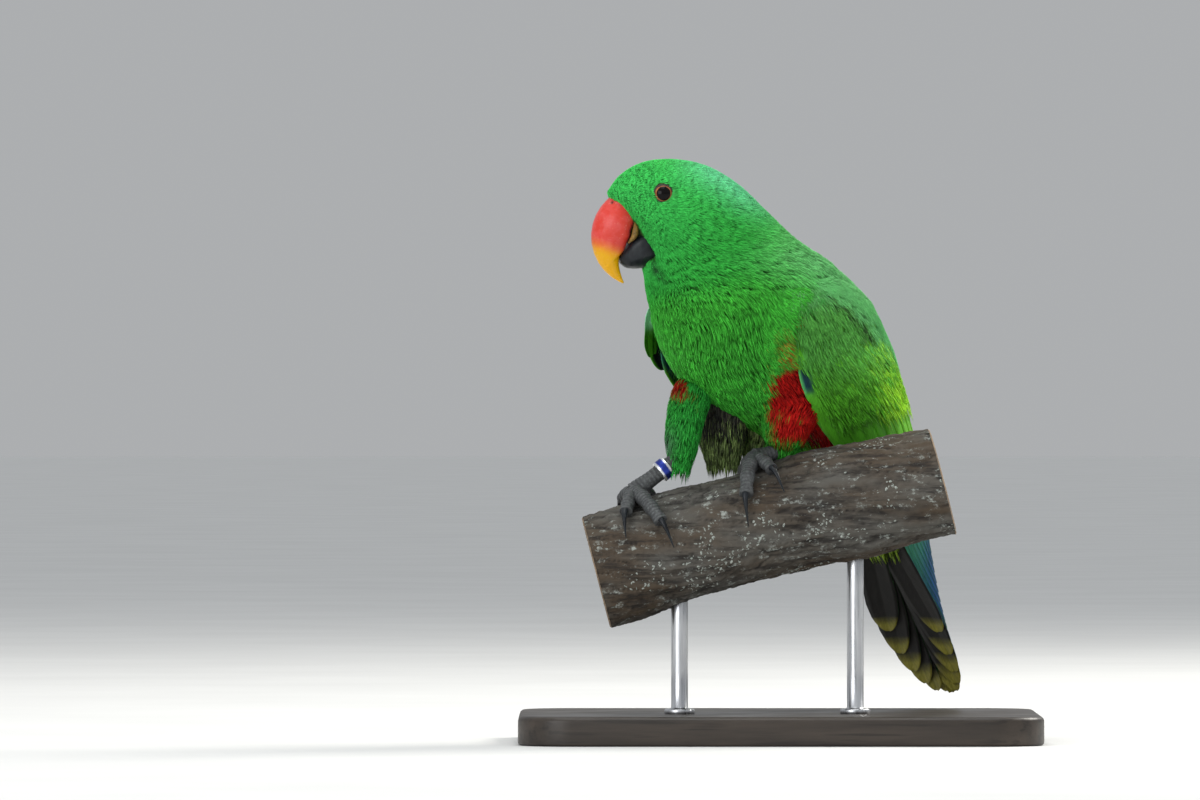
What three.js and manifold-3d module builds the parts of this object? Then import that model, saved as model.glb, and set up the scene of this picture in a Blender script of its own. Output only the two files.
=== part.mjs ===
// A male eclectus parrot at life size, leaning forward on a short length of branch that a plain
// display stand holds up.
// Millimetres, +Z up, +X along the branch. The origin is the middle of the stand's underside, and
// the middle of the bird's trunk is straight above it.
// The bird is laid out in its own measure, (forward, left, up): forward and left on the level from
// the middle of its trunk, and up from the height of its belly.
import * as THREE from "three";
import { mergeVertices } from "three/addons/utils/BufferGeometryUtils.js";
import Module from "manifold-3d";

const wasm = await Module();
wasm.setup();

// Driving dimensions.
const GAP = 0.3; // between neighbours that touch
const ROOM = 0.45; // left round a curved neighbour, whose flat facets take up a little of it
const BELLY_UP = 164; // height of the bird's own zero over the floor
const BODY_YAW = 45; // degrees, how far the breast is turned from -X towards -Y
const HEAD_TURN = 37; // degrees, how far the head is turned to the bird's right
const NECK_FORWARD = 40; // where the head's turning axis stands

const radians = THREE.MathUtils.degToRad;
const mix = THREE.MathUtils.lerp;
const smoothstep = THREE.MathUtils.smoothstep;
const clamp = THREE.MathUtils.clamp;
const vec = (x, y, z) => new THREE.Vector3(x, y, z);

const FORWARD = vec(-Math.cos(radians(BODY_YAW)), -Math.sin(radians(BODY_YAW)), 0);
const LEFT = vec(-FORWARD.y, FORWARD.x, 0);

// The bird's measure to the part's frame.
function stand(forward, left, up) {
  return vec(0, 0, up + BELLY_UP).addScaledVector(FORWARD, forward).addScaledVector(LEFT, left);
}

// The same after the head has turned by a share of HEAD_TURN about the neck's upright axis.
function turned(forward, left, up, share) {
  const turn = radians(HEAD_TURN) * share;
  const ahead = forward - NECK_FORWARD;
  return stand(
    NECK_FORWARD + ahead * Math.cos(turn) + left * Math.sin(turn),
    left * Math.cos(turn) - ahead * Math.sin(turn),
    up,
  );
}

// Anything that is rigid with the skull, such as the bill and the eyes.
const onHead = (forward, left, up) => turned(forward, left, up, 1);

// Feathered skin follows the twist of the neck, which comes on along this slanting measure.
const TWIST_FROM = 62;
const TWIST_TO = 98;
const alongNeck = (forward, up) => 0.643 * forward + 0.766 * up;
function onBody(forward, left, up) {
  return turned(forward, left, up, smoothstep(alongNeck(forward, up), TWIST_FROM, TWIST_TO));
}

// Solids.
function asSolid(geometry) {
  const bare = geometry.clone();
  bare.deleteAttribute("normal");
  bare.deleteAttribute("uv");
  const merged = mergeVertices(bare, 1e-3);
  const vertProperties = merged.attributes.position.array;
  const make = (triVerts) =>
    new wasm.Manifold(new wasm.Mesh({ numProp: 3, vertProperties, triVerts }));
  const faces = new Uint32Array(merged.index.array);
  const solid = make(faces);
  return solid.volume() < 0 ? make(faces.reverse()) : solid;
}

function asGeometry(solid) {
  const made = solid.getMesh();
  const geometry = new THREE.BufferGeometry();
  geometry.setAttribute("position", new THREE.BufferAttribute(made.vertProperties, 3));
  geometry.setIndex(new THREE.BufferAttribute(made.triVerts, 1));
  return geometry;
}

const fuse = (solids) => solids.reduce((all, next) => all.add(next));
const largest = (solid) =>
  solid.decompose().reduce((best, next) => (next.volume() > best.volume() ? next : best));

// A closed surface through rings of points, each end closed by a fan from its middle. Each quad is
// split along its shorter diagonal.
function loft(rings) {
  const sides = rings[0].length;
  const points = rings.flat();
  const faces = [];
  for (let ring = 0; ring < rings.length - 1; ring++) {
    for (let side = 0; side < sides; side++) {
      const next = (side + 1) % sides;
      const [a, b] = [ring * sides + side, ring * sides + next];
      const [c, d] = [b + sides, a + sides];
      const straight = points[a].distanceTo(points[c]) <= points[b].distanceTo(points[d]);
      if (straight) faces.push(a, b, c, a, c, d);
      else faces.push(a, b, d, b, c, d);
    }
  }
  const middle = (ring) =>
    ring.reduce((sum, p) => sum.add(p), vec(0, 0, 0)).multiplyScalar(1 / sides);
  points.push(middle(rings[0]), middle(rings.at(-1)));
  const [first, last] = [points.length - 2, points.length - 1];
  const lastRing = (rings.length - 1) * sides;
  for (let side = 0; side < sides; side++) {
    const next = (side + 1) % sides;
    faces.push(first, next, side, last, lastRing + side, lastRing + next);
  }
  return asSolid(new THREE.BufferGeometry().setFromPoints(points).setIndex(faces));
}

// A closed sheet between two grids of points of the same size, split into triangles alike on both.
function sheet(upper, lower) {
  const rows = upper.length;
  const columns = upper[0].length;
  const points = [...upper.flat(), ...lower.flat()];
  const under = rows * columns;
  const at = (row, column) => row * columns + column;
  const faces = [];
  for (let row = 0; row < rows - 1; row++) {
    for (let column = 0; column < columns - 1; column++) {
      const [a, b] = [at(row, column), at(row, column + 1)];
      const [c, d] = [at(row + 1, column + 1), at(row + 1, column)];
      faces.push(a, b, c, a, c, d);
      faces.push(under + c, under + b, under + a, under + d, under + c, under + a);
    }
  }
  const edge = [];
  for (let column = 0; column < columns - 1; column++) edge.push(at(0, column));
  for (let row = 0; row < rows - 1; row++) edge.push(at(row, columns - 1));
  for (let column = columns - 1; column > 0; column--) edge.push(at(rows - 1, column));
  for (let row = rows - 1; row > 0; row--) edge.push(at(row, 0));
  edge.forEach((a, i) => {
    const b = edge[(i + 1) % edge.length];
    faces.push(b, a, under + a, b, under + a, under + b);
  });
  return asSolid(new THREE.BufferGeometry().setFromPoints(points).setIndex(faces));
}

// The body's outline: at each station the back and the belly as (forward, up), and the half width.
// The first two stations carry on past the rump, where only the folded wings lie.
const STATIONS = [
  { name: "wing tips", back: [-114, -120], belly: [-102, -126], half: 12 },
  { name: "tail's root", back: [-99, -86], belly: [-78, -97], half: 16 },
  { name: "under the tail", back: [-86, -54], belly: [-54, -68], half: 22 },
  { name: "rump", back: [-75.5, -28.5], belly: [-29, -44], half: 31 },
  { name: "loins", back: [-65.5, -6.5], belly: [1, -20], half: 37.5 },
  { name: "belly", back: [-57, 12.5], belly: [34, -2], half: 41.5 },
  { name: "low breast", back: [-48, 31], belly: [57, 16], half: 44 },
  { name: "breast", back: [-37.5, 50.5], belly: [69.5, 33.5], half: 44 },
  { name: "shoulders", back: [-20, 66], belly: [74, 45.5], half: 39.5 },
  { name: "low neck", back: [0, 77.5], belly: [75.4, 51], half: 31.5 },
  { name: "neck", back: [17.5, 89.5], belly: [76, 54.8], half: 25.5 },
  { name: "nape", back: [32, 102.8], belly: [76.4, 57.6], half: 22.4 },
  { name: "back of the crown", back: [47, 111.6], belly: [76.7, 59.9], half: 21 },
  { name: "crown", back: [63.5, 114.8], belly: [77, 61.5], half: 20.4 },
  { name: "forehead", back: [78, 113.2], belly: [77.2, 63], half: 18.4 },
  { name: "lores", back: [88.5, 107.2], belly: [77.2, 64.2], half: 15.2 },
  { name: "face", back: [94.6, 99.5], belly: [77.2, 66], half: 10.8 },
];
const LAST = STATIONS.length - 1;
const TRUNK_END = 1.9; // the station where the trunk's own feathers end over the tail

const through = (points) => new THREE.CatmullRomCurve3(points, false, "centripetal");
const backLine = through(STATIONS.map(({ back: [f, u] }) => vec(f, 0, u)));
const bellyLine = through(STATIONS.map(({ belly: [f, u] }) => vec(f, 0, u)));
const halfWidths = through(STATIONS.map(({ half }, i) => vec(i * 10, half, 0)));

// A point of the body at a station, at an angle in degrees from the back round to the left, and
// raised by some millimetres along the surface's normal.
const FULLNESS = 0.9; // under 1 makes a section fuller than an ellipse
function body(station, angle, raised = 0) {
  const t = station / LAST;
  const back = backLine.getPoint(t);
  const belly = bellyLine.getPoint(t);
  const half = halfWidths.getPoint(t).y;
  const middle = back.clone().add(belly).multiplyScalar(0.5);
  const toBack = back.clone().sub(middle);
  const deep = toBack.length();
  toBack.normalize();
  const [cosine, sine] = [Math.cos(radians(angle)), Math.sin(radians(angle))];
  const full = (x) => Math.sign(x) * Math.abs(x) ** FULLNESS;
  const normal = new THREE.Vector2(cosine / deep, sine / half).normalize();
  const up = deep * full(cosine) + raised * normal.x;
  const left = half * full(sine) + raised * normal.y;
  return onBody(middle.x + toBack.x * up, left, middle.z + toBack.z * up);
}

const BODY_SIDES = 30;
const RINGS_PER_STATION = 2;
const ROUNDING = { over: 0.7, deep: 9 }; // how the trunk draws in over its last stretch
const MM_PER_STATION = 20;
function bodyLoft(raised = 0) {
  const steps = Math.round((LAST - TRUNK_END) * RINGS_PER_STATION);
  const rings = [];
  for (let step = 0; step <= steps; step++) {
    const station = mix(TRUNK_END - raised / MM_PER_STATION, LAST, step / steps);
    const near = Math.max(0, 1 - (station - TRUNK_END) / ROUNDING.over);
    const ring = [];
    for (let side = 0; side < BODY_SIDES; side++) {
      ring.push(body(station, (360 * side) / BODY_SIDES, raised - ROUNDING.deep * near ** 2));
    }
    rings.push(ring);
  }
  return loft(rings);
}

// Parts a solid by a flat cut that leaves GAP between the two, through a point, across a direction.
function cutAcross(solid, point, direction) {
  const normal = direction.clone().normalize();
  const at = normal.dot(point);
  const { x, y, z } = normal;
  return {
    ahead: solid.trimByPlane([x, y, z], at + GAP / 2),
    behind: solid.trimByPlane([-x, -y, -z], -at + GAP / 2),
  };
}

// The cut below the neck and the cut behind the head lean forward as the neck does.
const NECK_CUT = { back: [-8, 73], belly: [72.5, 50] };
const HEAD_CUT = { back: [25, 98], belly: [74.5, 57] };
function cutPlane({ back, belly }) {
  const [top, bottom, side] = [onBody(back[0], 0, back[1]), onBody(belly[0], 0, belly[1])]
    .concat(onBody((back[0] + belly[0]) / 2, 25, (back[1] + belly[1]) / 2));
  const direction = bottom.clone().sub(top).cross(side.clone().sub(top));
  return [top, direction.z < 0 ? direction.negate() : direction];
}

// The bill is swept round one centre: the culmen is an arc, and each section is a radial slice.
const BILL_MIDDLE = [78.5, 78];
const BILL_RADIUS = 24;
// Angle above the level in degrees, depth from the culmen inwards, and half width.
const UPPER_BILL = [
  { angle: 54, depth: 17, half: 8.4 },
  { angle: 45, depth: 17.2, half: 8.8 },
  { angle: 20, depth: 17.8, half: 8.7 },
  { angle: 0, depth: 17.8, half: 8.1 },
  { angle: -20, depth: 16.8, half: 6.9 },
  { angle: -35, depth: 13.6, half: 5.6 },
  { angle: -41, depth: 9.8, half: 4.7 },
  { angle: -51, depth: 6.8, half: 3.2 },
  { angle: -61, depth: 3.6, half: 1.7 },
  { angle: -69, depth: 0.8, half: 0.5 },
];
const BILL_SIDES = 12;
function upperBill(grown = 0) {
  const line = through(UPPER_BILL.map(({ angle, depth, half }) => vec(angle, depth, half)));
  const steps = 15;
  const rings = [];
  for (let step = 0; step <= steps; step++) {
    const { x: bare, y: depth, z: half } = line.getPoint(step / steps);
    const angle = step === 0 ? bare + (grown / 6) * (180 / Math.PI) : bare;
    const [outer, inner] = [BILL_RADIUS + grown, BILL_RADIUS - depth - grown];
    const ring = [];
    for (let side = 0; side < BILL_SIDES; side++) {
      const around = (2 * Math.PI * side) / BILL_SIDES;
      const reach = (outer + inner) / 2 + ((outer - inner) / 2) * Math.cos(around);
      // The keel of the culmen is narrow, and the cutting edges are wide.
      const wide = 1 - 0.16 * Math.cos(around);
      ring.push(
        onHead(
          BILL_MIDDLE[0] + reach * Math.cos(radians(angle)),
          (half + grown) * wide * Math.sin(around),
          BILL_MIDDLE[1] + reach * Math.sin(radians(angle)),
        ),
      );
    }
    rings.push(ring);
  }
  return loft(rings);
}

// The lower mandible is a short scoop: the cutting edge above and the chin line below.
const LOWER_BILL = [
  { edge: [72, 80], chin: [66, 67], half: 7.4 },
  { edge: [78, 78.6], chin: [72, 65], half: 8 },
  { edge: [82, 76.4], chin: [78, 63.2], half: 7.9 },
  { edge: [85, 73.4], chin: [83, 62.6], half: 7 },
  { edge: [86.9, 70.2], chin: [86.4, 63.6], half: 5.6 },
  { edge: [88.1, 68.3], chin: [88, 65.2], half: 3.6 },
];
function lowerBill(grown = 0) {
  const edge = through(LOWER_BILL.map(({ edge: [f, u] }) => vec(f, 0, u)));
  const chin = through(LOWER_BILL.map(({ chin: [f, u] }) => vec(f, 0, u)));
  const wide = through(LOWER_BILL.map(({ half }, i) => vec(i * 5, half, 0)));
  const steps = 12;
  const rings = [];
  for (let step = 0; step <= steps; step++) {
    const [top, bottom] = [edge.getPoint(step / steps), chin.getPoint(step / steps)];
    if (step === 0) [top, bottom].forEach((point) => point.add(vec(-grown, 0, 0)));
    const half = wide.getPoint(step / steps).y + grown;
    const middle = top.clone().add(bottom).multiplyScalar(0.5);
    const rise = top.clone().sub(middle);
    rise.setLength(rise.length() + grown);
    const ring = [];
    for (let side = 0; side < BILL_SIDES; side++) {
      const around = (2 * Math.PI * side) / BILL_SIDES;
      const up = Math.sign(Math.cos(around)) * Math.abs(Math.cos(around)) ** 0.8;
      ring.push(
        onHead(
          middle.x + rise.x * up,
          half * Math.sin(around) * (1 + 0.12 * Math.cos(around)),
          middle.z + rise.z * up,
        ),
      );
    }
    rings.push(ring);
  }
  return loft(rings);
}

// Eyes: a ball in a socket, and a raised rim of lid round it.
const EYE = { forward: 70.4, up: 98.3, radius: 5.6, out: 14.6 };
const LID = { radius: 4.9, thick: 0.85, out: 18.2 };
const eyeMiddle = (side, out = EYE.out) => onHead(EYE.forward, side * out, EYE.up);
function eyeball(side, grown = 0) {
  const ball = new THREE.SphereGeometry(EYE.radius + grown, 14, 9);
  const { x, y, z } = eyeMiddle(side);
  return asSolid(ball.translate(x, y, z));
}
function lid(side) {
  const rim = new THREE.TorusGeometry(LID.radius, LID.thick, 5, 18);
  const outward = eyeMiddle(side, 1).sub(eyeMiddle(side, 0));
  rim.applyQuaternion(new THREE.Quaternion().setFromUnitVectors(vec(0, 0, 1), outward));
  const { x, y, z } = eyeMiddle(side, LID.out);
  return asSolid(rim.translate(x, y, z));
}

// A nostril is a small pit on each side of the bill, at the edge of the forehead.
const NOSTRIL = { at: [93.4, 5.1, 94.4], radius: 1.5 };
function nostril(side) {
  const pit = new THREE.SphereGeometry(NOSTRIL.radius, 8, 6);
  const { x, y, z } = onHead(NOSTRIL.at[0], side * NOSTRIL.at[1], NOSTRIL.at[2]);
  return asSolid(pit.translate(x, y, z));
}

// A vane is a thin flat feather with a blunt tip. at(along, across) gives its upper face, along
// running from 0 at the root to 1 at the tip, and across from -1 to 1; under() goes through it.
const VANE = { thick: 0.55, rows: [0, 0.15, 0.5, 0.85, 1], columns: [-1, 0, 1] };
function vaneWidth(along) {
  const rounding = Math.max(0, (along - 0.7) / 0.3);
  return mix(0.5, 1, smoothstep(along, 0, 0.4)) * Math.sqrt(1 - 0.93 * rounding ** 2);
}
function vane(at) {
  const face = (deep) =>
    VANE.rows.map((along) =>
      VANE.columns.map((column) => at(along, column * vaneWidth(along), deep)),
    );
  return sheet(face(0), face(-VANE.thick));
}

// A folded wing lies over the trunk from the shoulder to its tip: at each station the angles of its
// upper and lower edges from the back.
const WING = [
  { station: 0.3, upper: 30, lower: 62 },
  { station: 1, upper: 16, lower: 92 },
  { station: 2, upper: 11, lower: 118 },
  { station: 3, upper: 9, lower: 131 },
  { station: 4, upper: 10, lower: 135 },
  { station: 5, upper: 16, lower: 128 },
  { station: 6, upper: 28, lower: 124 },
  { station: 7, upper: 43, lower: 116 },
  { station: 7.6, upper: 57, lower: 105 },
  { station: 7.95, upper: 72, lower: 92 },
];
// A smooth curve through one value of each row, read by station.
function profile(rows, key) {
  const line = through(rows.map((row) => vec(row.station * MM_PER_STATION, row[key], 0)));
  const points = line.getPoints(rows.length * 12);
  return (station) => {
    const x = station * MM_PER_STATION;
    const found = points.findIndex((point) => point.x >= x);
    const i = found < 0 ? points.length - 1 : Math.max(found, 1);
    const [low, high] = [points[i - 1], points[i]];
    return mix(low.y, high.y, clamp((x - low.x) / (high.x - low.x), 0, 1));
  };
}
const [upperEdge, lowerEdge] = [profile(WING, "upper"), profile(WING, "lower")];

// A point of a wing: across runs from 0 at its upper edge to 1 at its lower one, and raised is the
// height over the trunk's surface. side is 1 on the left and -1 on the right, and away is how far
// the lower edge stands off the trunk.
function wingPoint({ side, away }, station, across, raised) {
  const angle = mix(upperEdge(station), lowerEdge(station), across);
  return body(station, side * angle, away * clamp(across, 0, 1) ** 2 + raised);
}

// The arm under the feathers, with the small coverts of the shoulder: inner is its face in the
// trunk, raised its outer face and rim its edges.
const ARM = { from: 2.3, to: 7.95, inner: -5.2, rows: 13, columns: 7 };
const ARM_OUTER = [
  { station: 2.3, raised: -4.4, rim: -4.5 },
  { station: 3.2, raised: -3.8, rim: -4.2 },
  { station: 4.2, raised: -1.9, rim: -3.2 },
  { station: 4.9, raised: 0.2, rim: -1.4 },
  { station: 5.5, raised: 2.4, rim: 0.2 },
  { station: 6.2, raised: 3.6, rim: 0.6 },
  { station: 7.2, raised: 3.2, rim: 0.5 },
  { station: 7.95, raised: 0, rim: -0.8 },
];
const [armTop, armRim] = [profile(ARM_OUTER, "raised"), profile(ARM_OUTER, "rim")];
const grid = (rows, columns, at) =>
  Array.from({ length: rows + 1 }, (_, row) =>
    Array.from({ length: columns + 1 }, (_, column) => at(row / rows, column / columns)),
  );
function arm(wing) {
  const point = (outer) => (row, across) => {
    const station = mix(ARM.from, ARM.to, row);
    const crown = 1 - (2 * across - 1) ** 6;
    const raised = outer ? mix(armRim(station), armTop(station), crown) : ARM.inner;
    return wingPoint(wing, station, across, raised);
  };
  return sheet(grid(ARM.rows, ARM.columns, point(true)), grid(ARM.rows, ARM.columns, point(false)));
}

// The tiers of a folded wing, from the lowest up. In each, the vanes run from roots in the arm to
// their tips, and each one lies over the next one towards the wing's lower edge. Roots and tips are
// given for the first and the last vane. rise and stack are heights at the root and the tip: of the
// lowest vane, and of each one over the next.
const TIERS = [
  {
    name: "primaries",
    count: 5,
    roots: [{ station: 3.5, across: 0.34 }, { station: 4.1, across: 0.84 }],
    tips: [{ station: 1.5, across: 0.22 }, { station: 0.3, across: 0.6 }],
    bow: 0.12,
    half: 8,
    rise: [-2.2, -1.6],
    stack: [0.35, 0.7],
  },
  {
    name: "secondaries",
    count: 8,
    roots: [{ station: 5.1, across: 0.12 }, { station: 5.5, across: 0.82 }],
    tips: [{ station: 1.9, across: 0.13 }, { station: 3.35, across: 0.9 }],
    bow: 0.04,
    half: 8,
    rise: [0.4, 0.3],
    stack: [0.4, 0.45],
  },
  {
    name: "greater coverts",
    count: 7,
    roots: [{ station: 6, across: 0.14 }, { station: 6.2, across: 0.82 }],
    tips: [{ station: 4.3, across: 0.12 }, { station: 4.75, across: 0.9 }],
    bow: 0,
    half: 8.5,
    rise: [1.6, 1.6],
    stack: [0.42, 0.45],
  },
];
const TILT = 1; // how much higher a vane's lower edge lies than its upper one
const ROOT_DEPTH = 1.3; // how far a root is sunk in the arm
function tierVanes(wing, { count, roots, tips, bow, half, rise, stack }) {
  const vanes = [];
  for (let i = 0; i < count; i++) {
    const share = i / (count - 1);
    const [root, tip] = [roots, tips].map(([first, last]) => ({
      station: mix(first.station, last.station, share),
      across: mix(first.across, last.across, share),
    }));
    vanes.push(
      vane((along, column, deep) => {
        const station = mix(root.station, tip.station, along);
        const bowed = bow * Math.sin(Math.PI * along) * share;
        const middle = mix(root.across, tip.across, along) + bowed;
        const [above, below] = [-0.05, 0.05].map((off) => wingPoint(wing, station, middle + off, 0));
        const perAcross = above.distanceTo(below) / 0.1;
        const across = clamp(middle + (column * half) / perAcross, 0, 1);
        const level = mix(...rise, along) + (count - 1 - i) * mix(...stack, along);
        const free = level + (TILT * (column + 1)) / 2;
        const sunk = armTop(root.station) - ROOT_DEPTH;
        const raised = mix(sunk, free, smoothstep(along, 0, VANE.rows[1]));
        return wingPoint(wing, station, across, raised + deep);
      }),
    );
  }
  return vanes;
}
const wingSolid = (wing) => fuse([arm(wing), ...TIERS.flatMap((tier) => tierVanes(wing, tier))]);

// The room that a wing takes up in the trunk.
const WING_ROOM = { over: 10, edge: 1 };
function wingRoom(wing) {
  const point = (raised) => (row, column) => {
    const past = (2 * row - 1) * (ROOM / MM_PER_STATION);
    const station = mix(ARM.from, ARM.to, row);
    const width = wingPoint(wing, station, 0, 0).distanceTo(wingPoint(wing, station, 1, 0));
    const edge = WING_ROOM.edge / width;
    return wingPoint(wing, station + past, mix(-edge, 1 + edge, column), raised);
  };
  const face = (raised) => grid(ARM.rows, ARM.columns, point(raised));
  return sheet(face(WING_ROOM.over), face(ARM.inner - ROOM));
}

// The tail: six pairs of vanes that fan out from a short core, in which their first lap millimetres
// are sunk, the middle pair on top.
const TAIL = {
  root: [-56, -37.5],
  slope: 59, // degrees below the level
  length: 122,
  half: 10.5,
  pairs: 6,
  fan: 2.1, // degrees between one vane and the next
  step: 0.9, // each pair lies this much under the one before
  shorter: 0.012, // and is shorter by this share of the length, growing outwards
  droop: 0.004, // the tail's sides hang by this times the square of the distance
  core: { from: 30, to: 52, half: [10, 12], deep: 3.6, rings: 4, sides: 14, lap: 4 },
};
function tailPoint(along, across, over) {
  const [ahead, rise] = [-Math.cos(radians(TAIL.slope)), -Math.sin(radians(TAIL.slope))];
  return onBody(
    TAIL.root[0] + ahead * along + rise * over,
    across,
    TAIL.root[1] + rise * along - ahead * over,
  );
}

function tailSolid() {
  const rings = [];
  const { from, to, half, deep, rings: count, sides, lap } = TAIL.core;
  for (let step = 0; step <= count; step++) {
    const ring = [];
    for (let side = 0; side < sides; side++) {
      const around = (2 * Math.PI * side) / sides;
      const across = mix(...half, step / count) * Math.sin(around);
      ring.push(tailPoint(mix(from, to, step / count), across, deep * Math.cos(around) - deep));
    }
    rings.push(ring);
  }
  const vanes = [];
  for (let pair = 0; pair < TAIL.pairs; pair++) {
    for (const side of [1, -1]) {
      // The right middle vane lies over the left one, and the rest keep to their own side.
      const level = pair === 0 && side < 0 ? 1 : -pair;
      const inner = pair === 0 && side < 0 ? -TAIL.half : 0.2;
      const fan = radians((pair + 0.4) * TAIL.fan);
      const length = TAIL.length * (1 - TAIL.shorter * pair ** 2) - to + lap;
      vanes.push(
        vane((along, column, deepness) => {
          const reach = to - lap + along * length;
          const middle = reach * Math.sin(fan);
          const off = Math.max(inner, middle + column * TAIL.half);
          const over = level * TAIL.step - TAIL.droop * off ** 2 + deepness;
          return tailPoint(reach * Math.cos(fan), side * off, over);
        }),
      );
    }
  }
  return fuse([loft(rings), ...vanes]);
}

// The perch: a bent length of old branch.
const PERCH = {
  radius: 27,
  from: -88,
  to: 78,
  across: -27, // where its middle line lies in Y
  height: 107.5, // its middle line's height at X = 0
  slope: 0.26, // rise along X
  bend: 3, // how far its middle stands over its ends
};
function perchMiddle(x) {
  const half = (PERCH.to - PERCH.from) / 2;
  const off = (x - (PERCH.from + PERCH.to) / 2) / half;
  return vec(x, PERCH.across + 1.5 * off, PERCH.height + PERCH.slope * x - PERCH.bend * off * off);
}
const KNOT = { x: 40, angle: 225, tall: 5, long: 13, wide: 30 };
function perchRadius(x, angle) {
  const waves = 0.9 * Math.sin(x / 17 + 2 * radians(angle)) + 0.6 * Math.sin(x / 9 - 3 * radians(angle));
  const away = ((angle - KNOT.angle + 540) % 360) - 180;
  const knot = Math.exp(-(((x - KNOT.x) / KNOT.long) ** 2) - (away / KNOT.wide) ** 2);
  return PERCH.radius + waves + KNOT.tall * knot;
}
// A point over the perch: angle 0 is its top, and 90 is its side towards -Y.
const alongPerch = vec(1, 0, PERCH.slope).normalize();
const overPerch = vec(-PERCH.slope, 0, 1).normalize();
function perchPoint(x, angle, over = 0) {
  const reach = perchRadius(x, angle) + over;
  const middle = perchMiddle(x);
  return middle
    .addScaledVector(overPerch, reach * Math.cos(radians(angle)))
    .add(vec(0, -reach * Math.sin(radians(angle)), 0));
}
function perchLoft(over = 0) {
  const steps = 12;
  const sides = 24;
  const rings = [];
  for (let step = 0; step <= steps; step++) {
    const x = mix(PERCH.from - over, PERCH.to + over, step / steps);
    const ring = [];
    for (let side = 0; side < sides; side++) ring.push(perchPoint(x, (360 * side) / sides, over));
    rings.push(ring);
  }
  return loft(rings);
}

// The stand: a flat base with round corners, and two rods that go up into the perch.
const BASE = { long: 250, deep: 180, thick: 14, corner: 26, bevel: 1.5 };
const ROD = { radius: 4, at: [-48, 36], into: 9, sides: 16 };
function baseSolid() {
  const [x, y, r] = [BASE.long / 2 - BASE.bevel, BASE.deep / 2 - BASE.bevel, BASE.corner];
  const outline = new THREE.Shape();
  outline.absarc(x - r, y - r, r, 0, Math.PI / 2);
  outline.absarc(r - x, y - r, r, Math.PI / 2, Math.PI);
  outline.absarc(r - x, r - y, r, Math.PI, 1.5 * Math.PI);
  outline.absarc(x - r, r - y, r, 1.5 * Math.PI, 2 * Math.PI);
  const plate = new THREE.ExtrudeGeometry(outline, {
    depth: BASE.thick - 2 * BASE.bevel,
    bevelThickness: BASE.bevel,
    bevelSize: BASE.bevel,
    bevelSegments: 1,
    curveSegments: 4,
  });
  return asSolid(plate.translate(0, 0, BASE.bevel));
}
function rodSolid(x, grown = 0) {
  const bottom = BASE.thick - ROD.into - grown;
  const middle = perchMiddle(x);
  const top = middle.z - perchRadius(x, 180) + ROD.into + grown;
  const rod = new THREE.CylinderGeometry(
    ROD.radius + grown,
    ROD.radius + grown,
    top - bottom,
    ROD.sides,
  );
  rod.rotateX(Math.PI / 2);
  return asSolid(rod.translate(x, middle.y, (top + bottom) / 2));
}

// A tapered limb along a curve, with a radius and a sideways share at each step.
function limb(points, radiusAt, sides, steps, firstUp) {
  const path = through(points);
  const rings = [];
  let up = firstUp.clone();
  for (let step = 0; step <= steps; step++) {
    const t = step / steps;
    const middle = path.getPoint(t);
    const along = path.getTangent(t);
    const side = along.clone().cross(up).normalize();
    up = side.clone().cross(along).normalize();
    const radius = radiusAt(t);
    const ring = [];
    for (let k = 0; k < sides; k++) {
      const around = (2 * Math.PI * k) / sides;
      ring.push(
        middle
          .clone()
          .addScaledVector(side, radius * Math.cos(around))
          .addScaledVector(up, radius * Math.sin(around)),
      );
    }
    rings.push(ring);
  }
  return loft(rings);
}

// The feathered shanks: from inside the belly down to the ankle.
const LEGS = {
  left: { side: 1, hip: [8, 21, 2], ankle: [14, 17, -24], foot: -4, wide: [17, 9], ring: false },
  right: { side: -1, hip: [37, -19, 11], ankle: [54, -16, -28.5], foot: -62, wide: [13, 7.2], ring: true },
};
const SHANK = { sides: 18, steps: 8, bulge: 3 };
function shank({ hip, ankle, wide }) {
  const [top, bottom] = [stand(...hip), stand(...ankle)];
  const bulge = top.clone().lerp(bottom, 0.45).addScaledVector(FORWARD, SHANK.bulge);
  const radiusAt = (t) => mix(wide[0], wide[1], t ** 0.8);
  return limb([top, bulge, bottom], radiusAt, SHANK.sides, SHANK.steps, vec(0, 0, 1).cross(LEFT));
}

// The loose plumage of the right flank hangs down behind the right leg, which reaches forward.
const FLANK = { top: [23, -17, 8], bottom: [22, -16, -31], wide: [14, 6], sides: 12, steps: 5 };
function flank(grown = 0) {
  const [top, bottom] = [stand(...FLANK.top), stand(...FLANK.bottom)];
  const along = bottom.clone().sub(top).normalize();
  const middle = top.clone().lerp(bottom, 0.5);
  const path = [top.addScaledVector(along, -grown), middle, bottom.addScaledVector(along, grown)];
  const radiusAt = (t) => mix(...FLANK.wide, t ** 1.6) + grown;
  return limb(path, radiusAt, FLANK.sides, FLANK.steps, FORWARD);
}

// Feet: a short scaly tarsus, two toes in front and two behind, laid round the perch, and a claw
// at the end of each. Toe lengths and places are the same on both feet, in mirror image.
const TARSUS = { radius: 3.8, sides: 9 };
const TOES = [
  { name: "inner_front", length: 21, turn: -16, forward: 1, thick: 3.8 },
  { name: "outer_front", length: 33, turn: 15, forward: 1, thick: 4.1 },
  { name: "outer_rear", length: 30, turn: 17, forward: -1, thick: 4 },
  { name: "inner_rear", length: 15, turn: -22, forward: -1, thick: 3.7 },
];
const CLAW = { length: 12, thick: 2, tip: 0.35, rooted: 1.4, sides: 6, steps: 6 };
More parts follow.
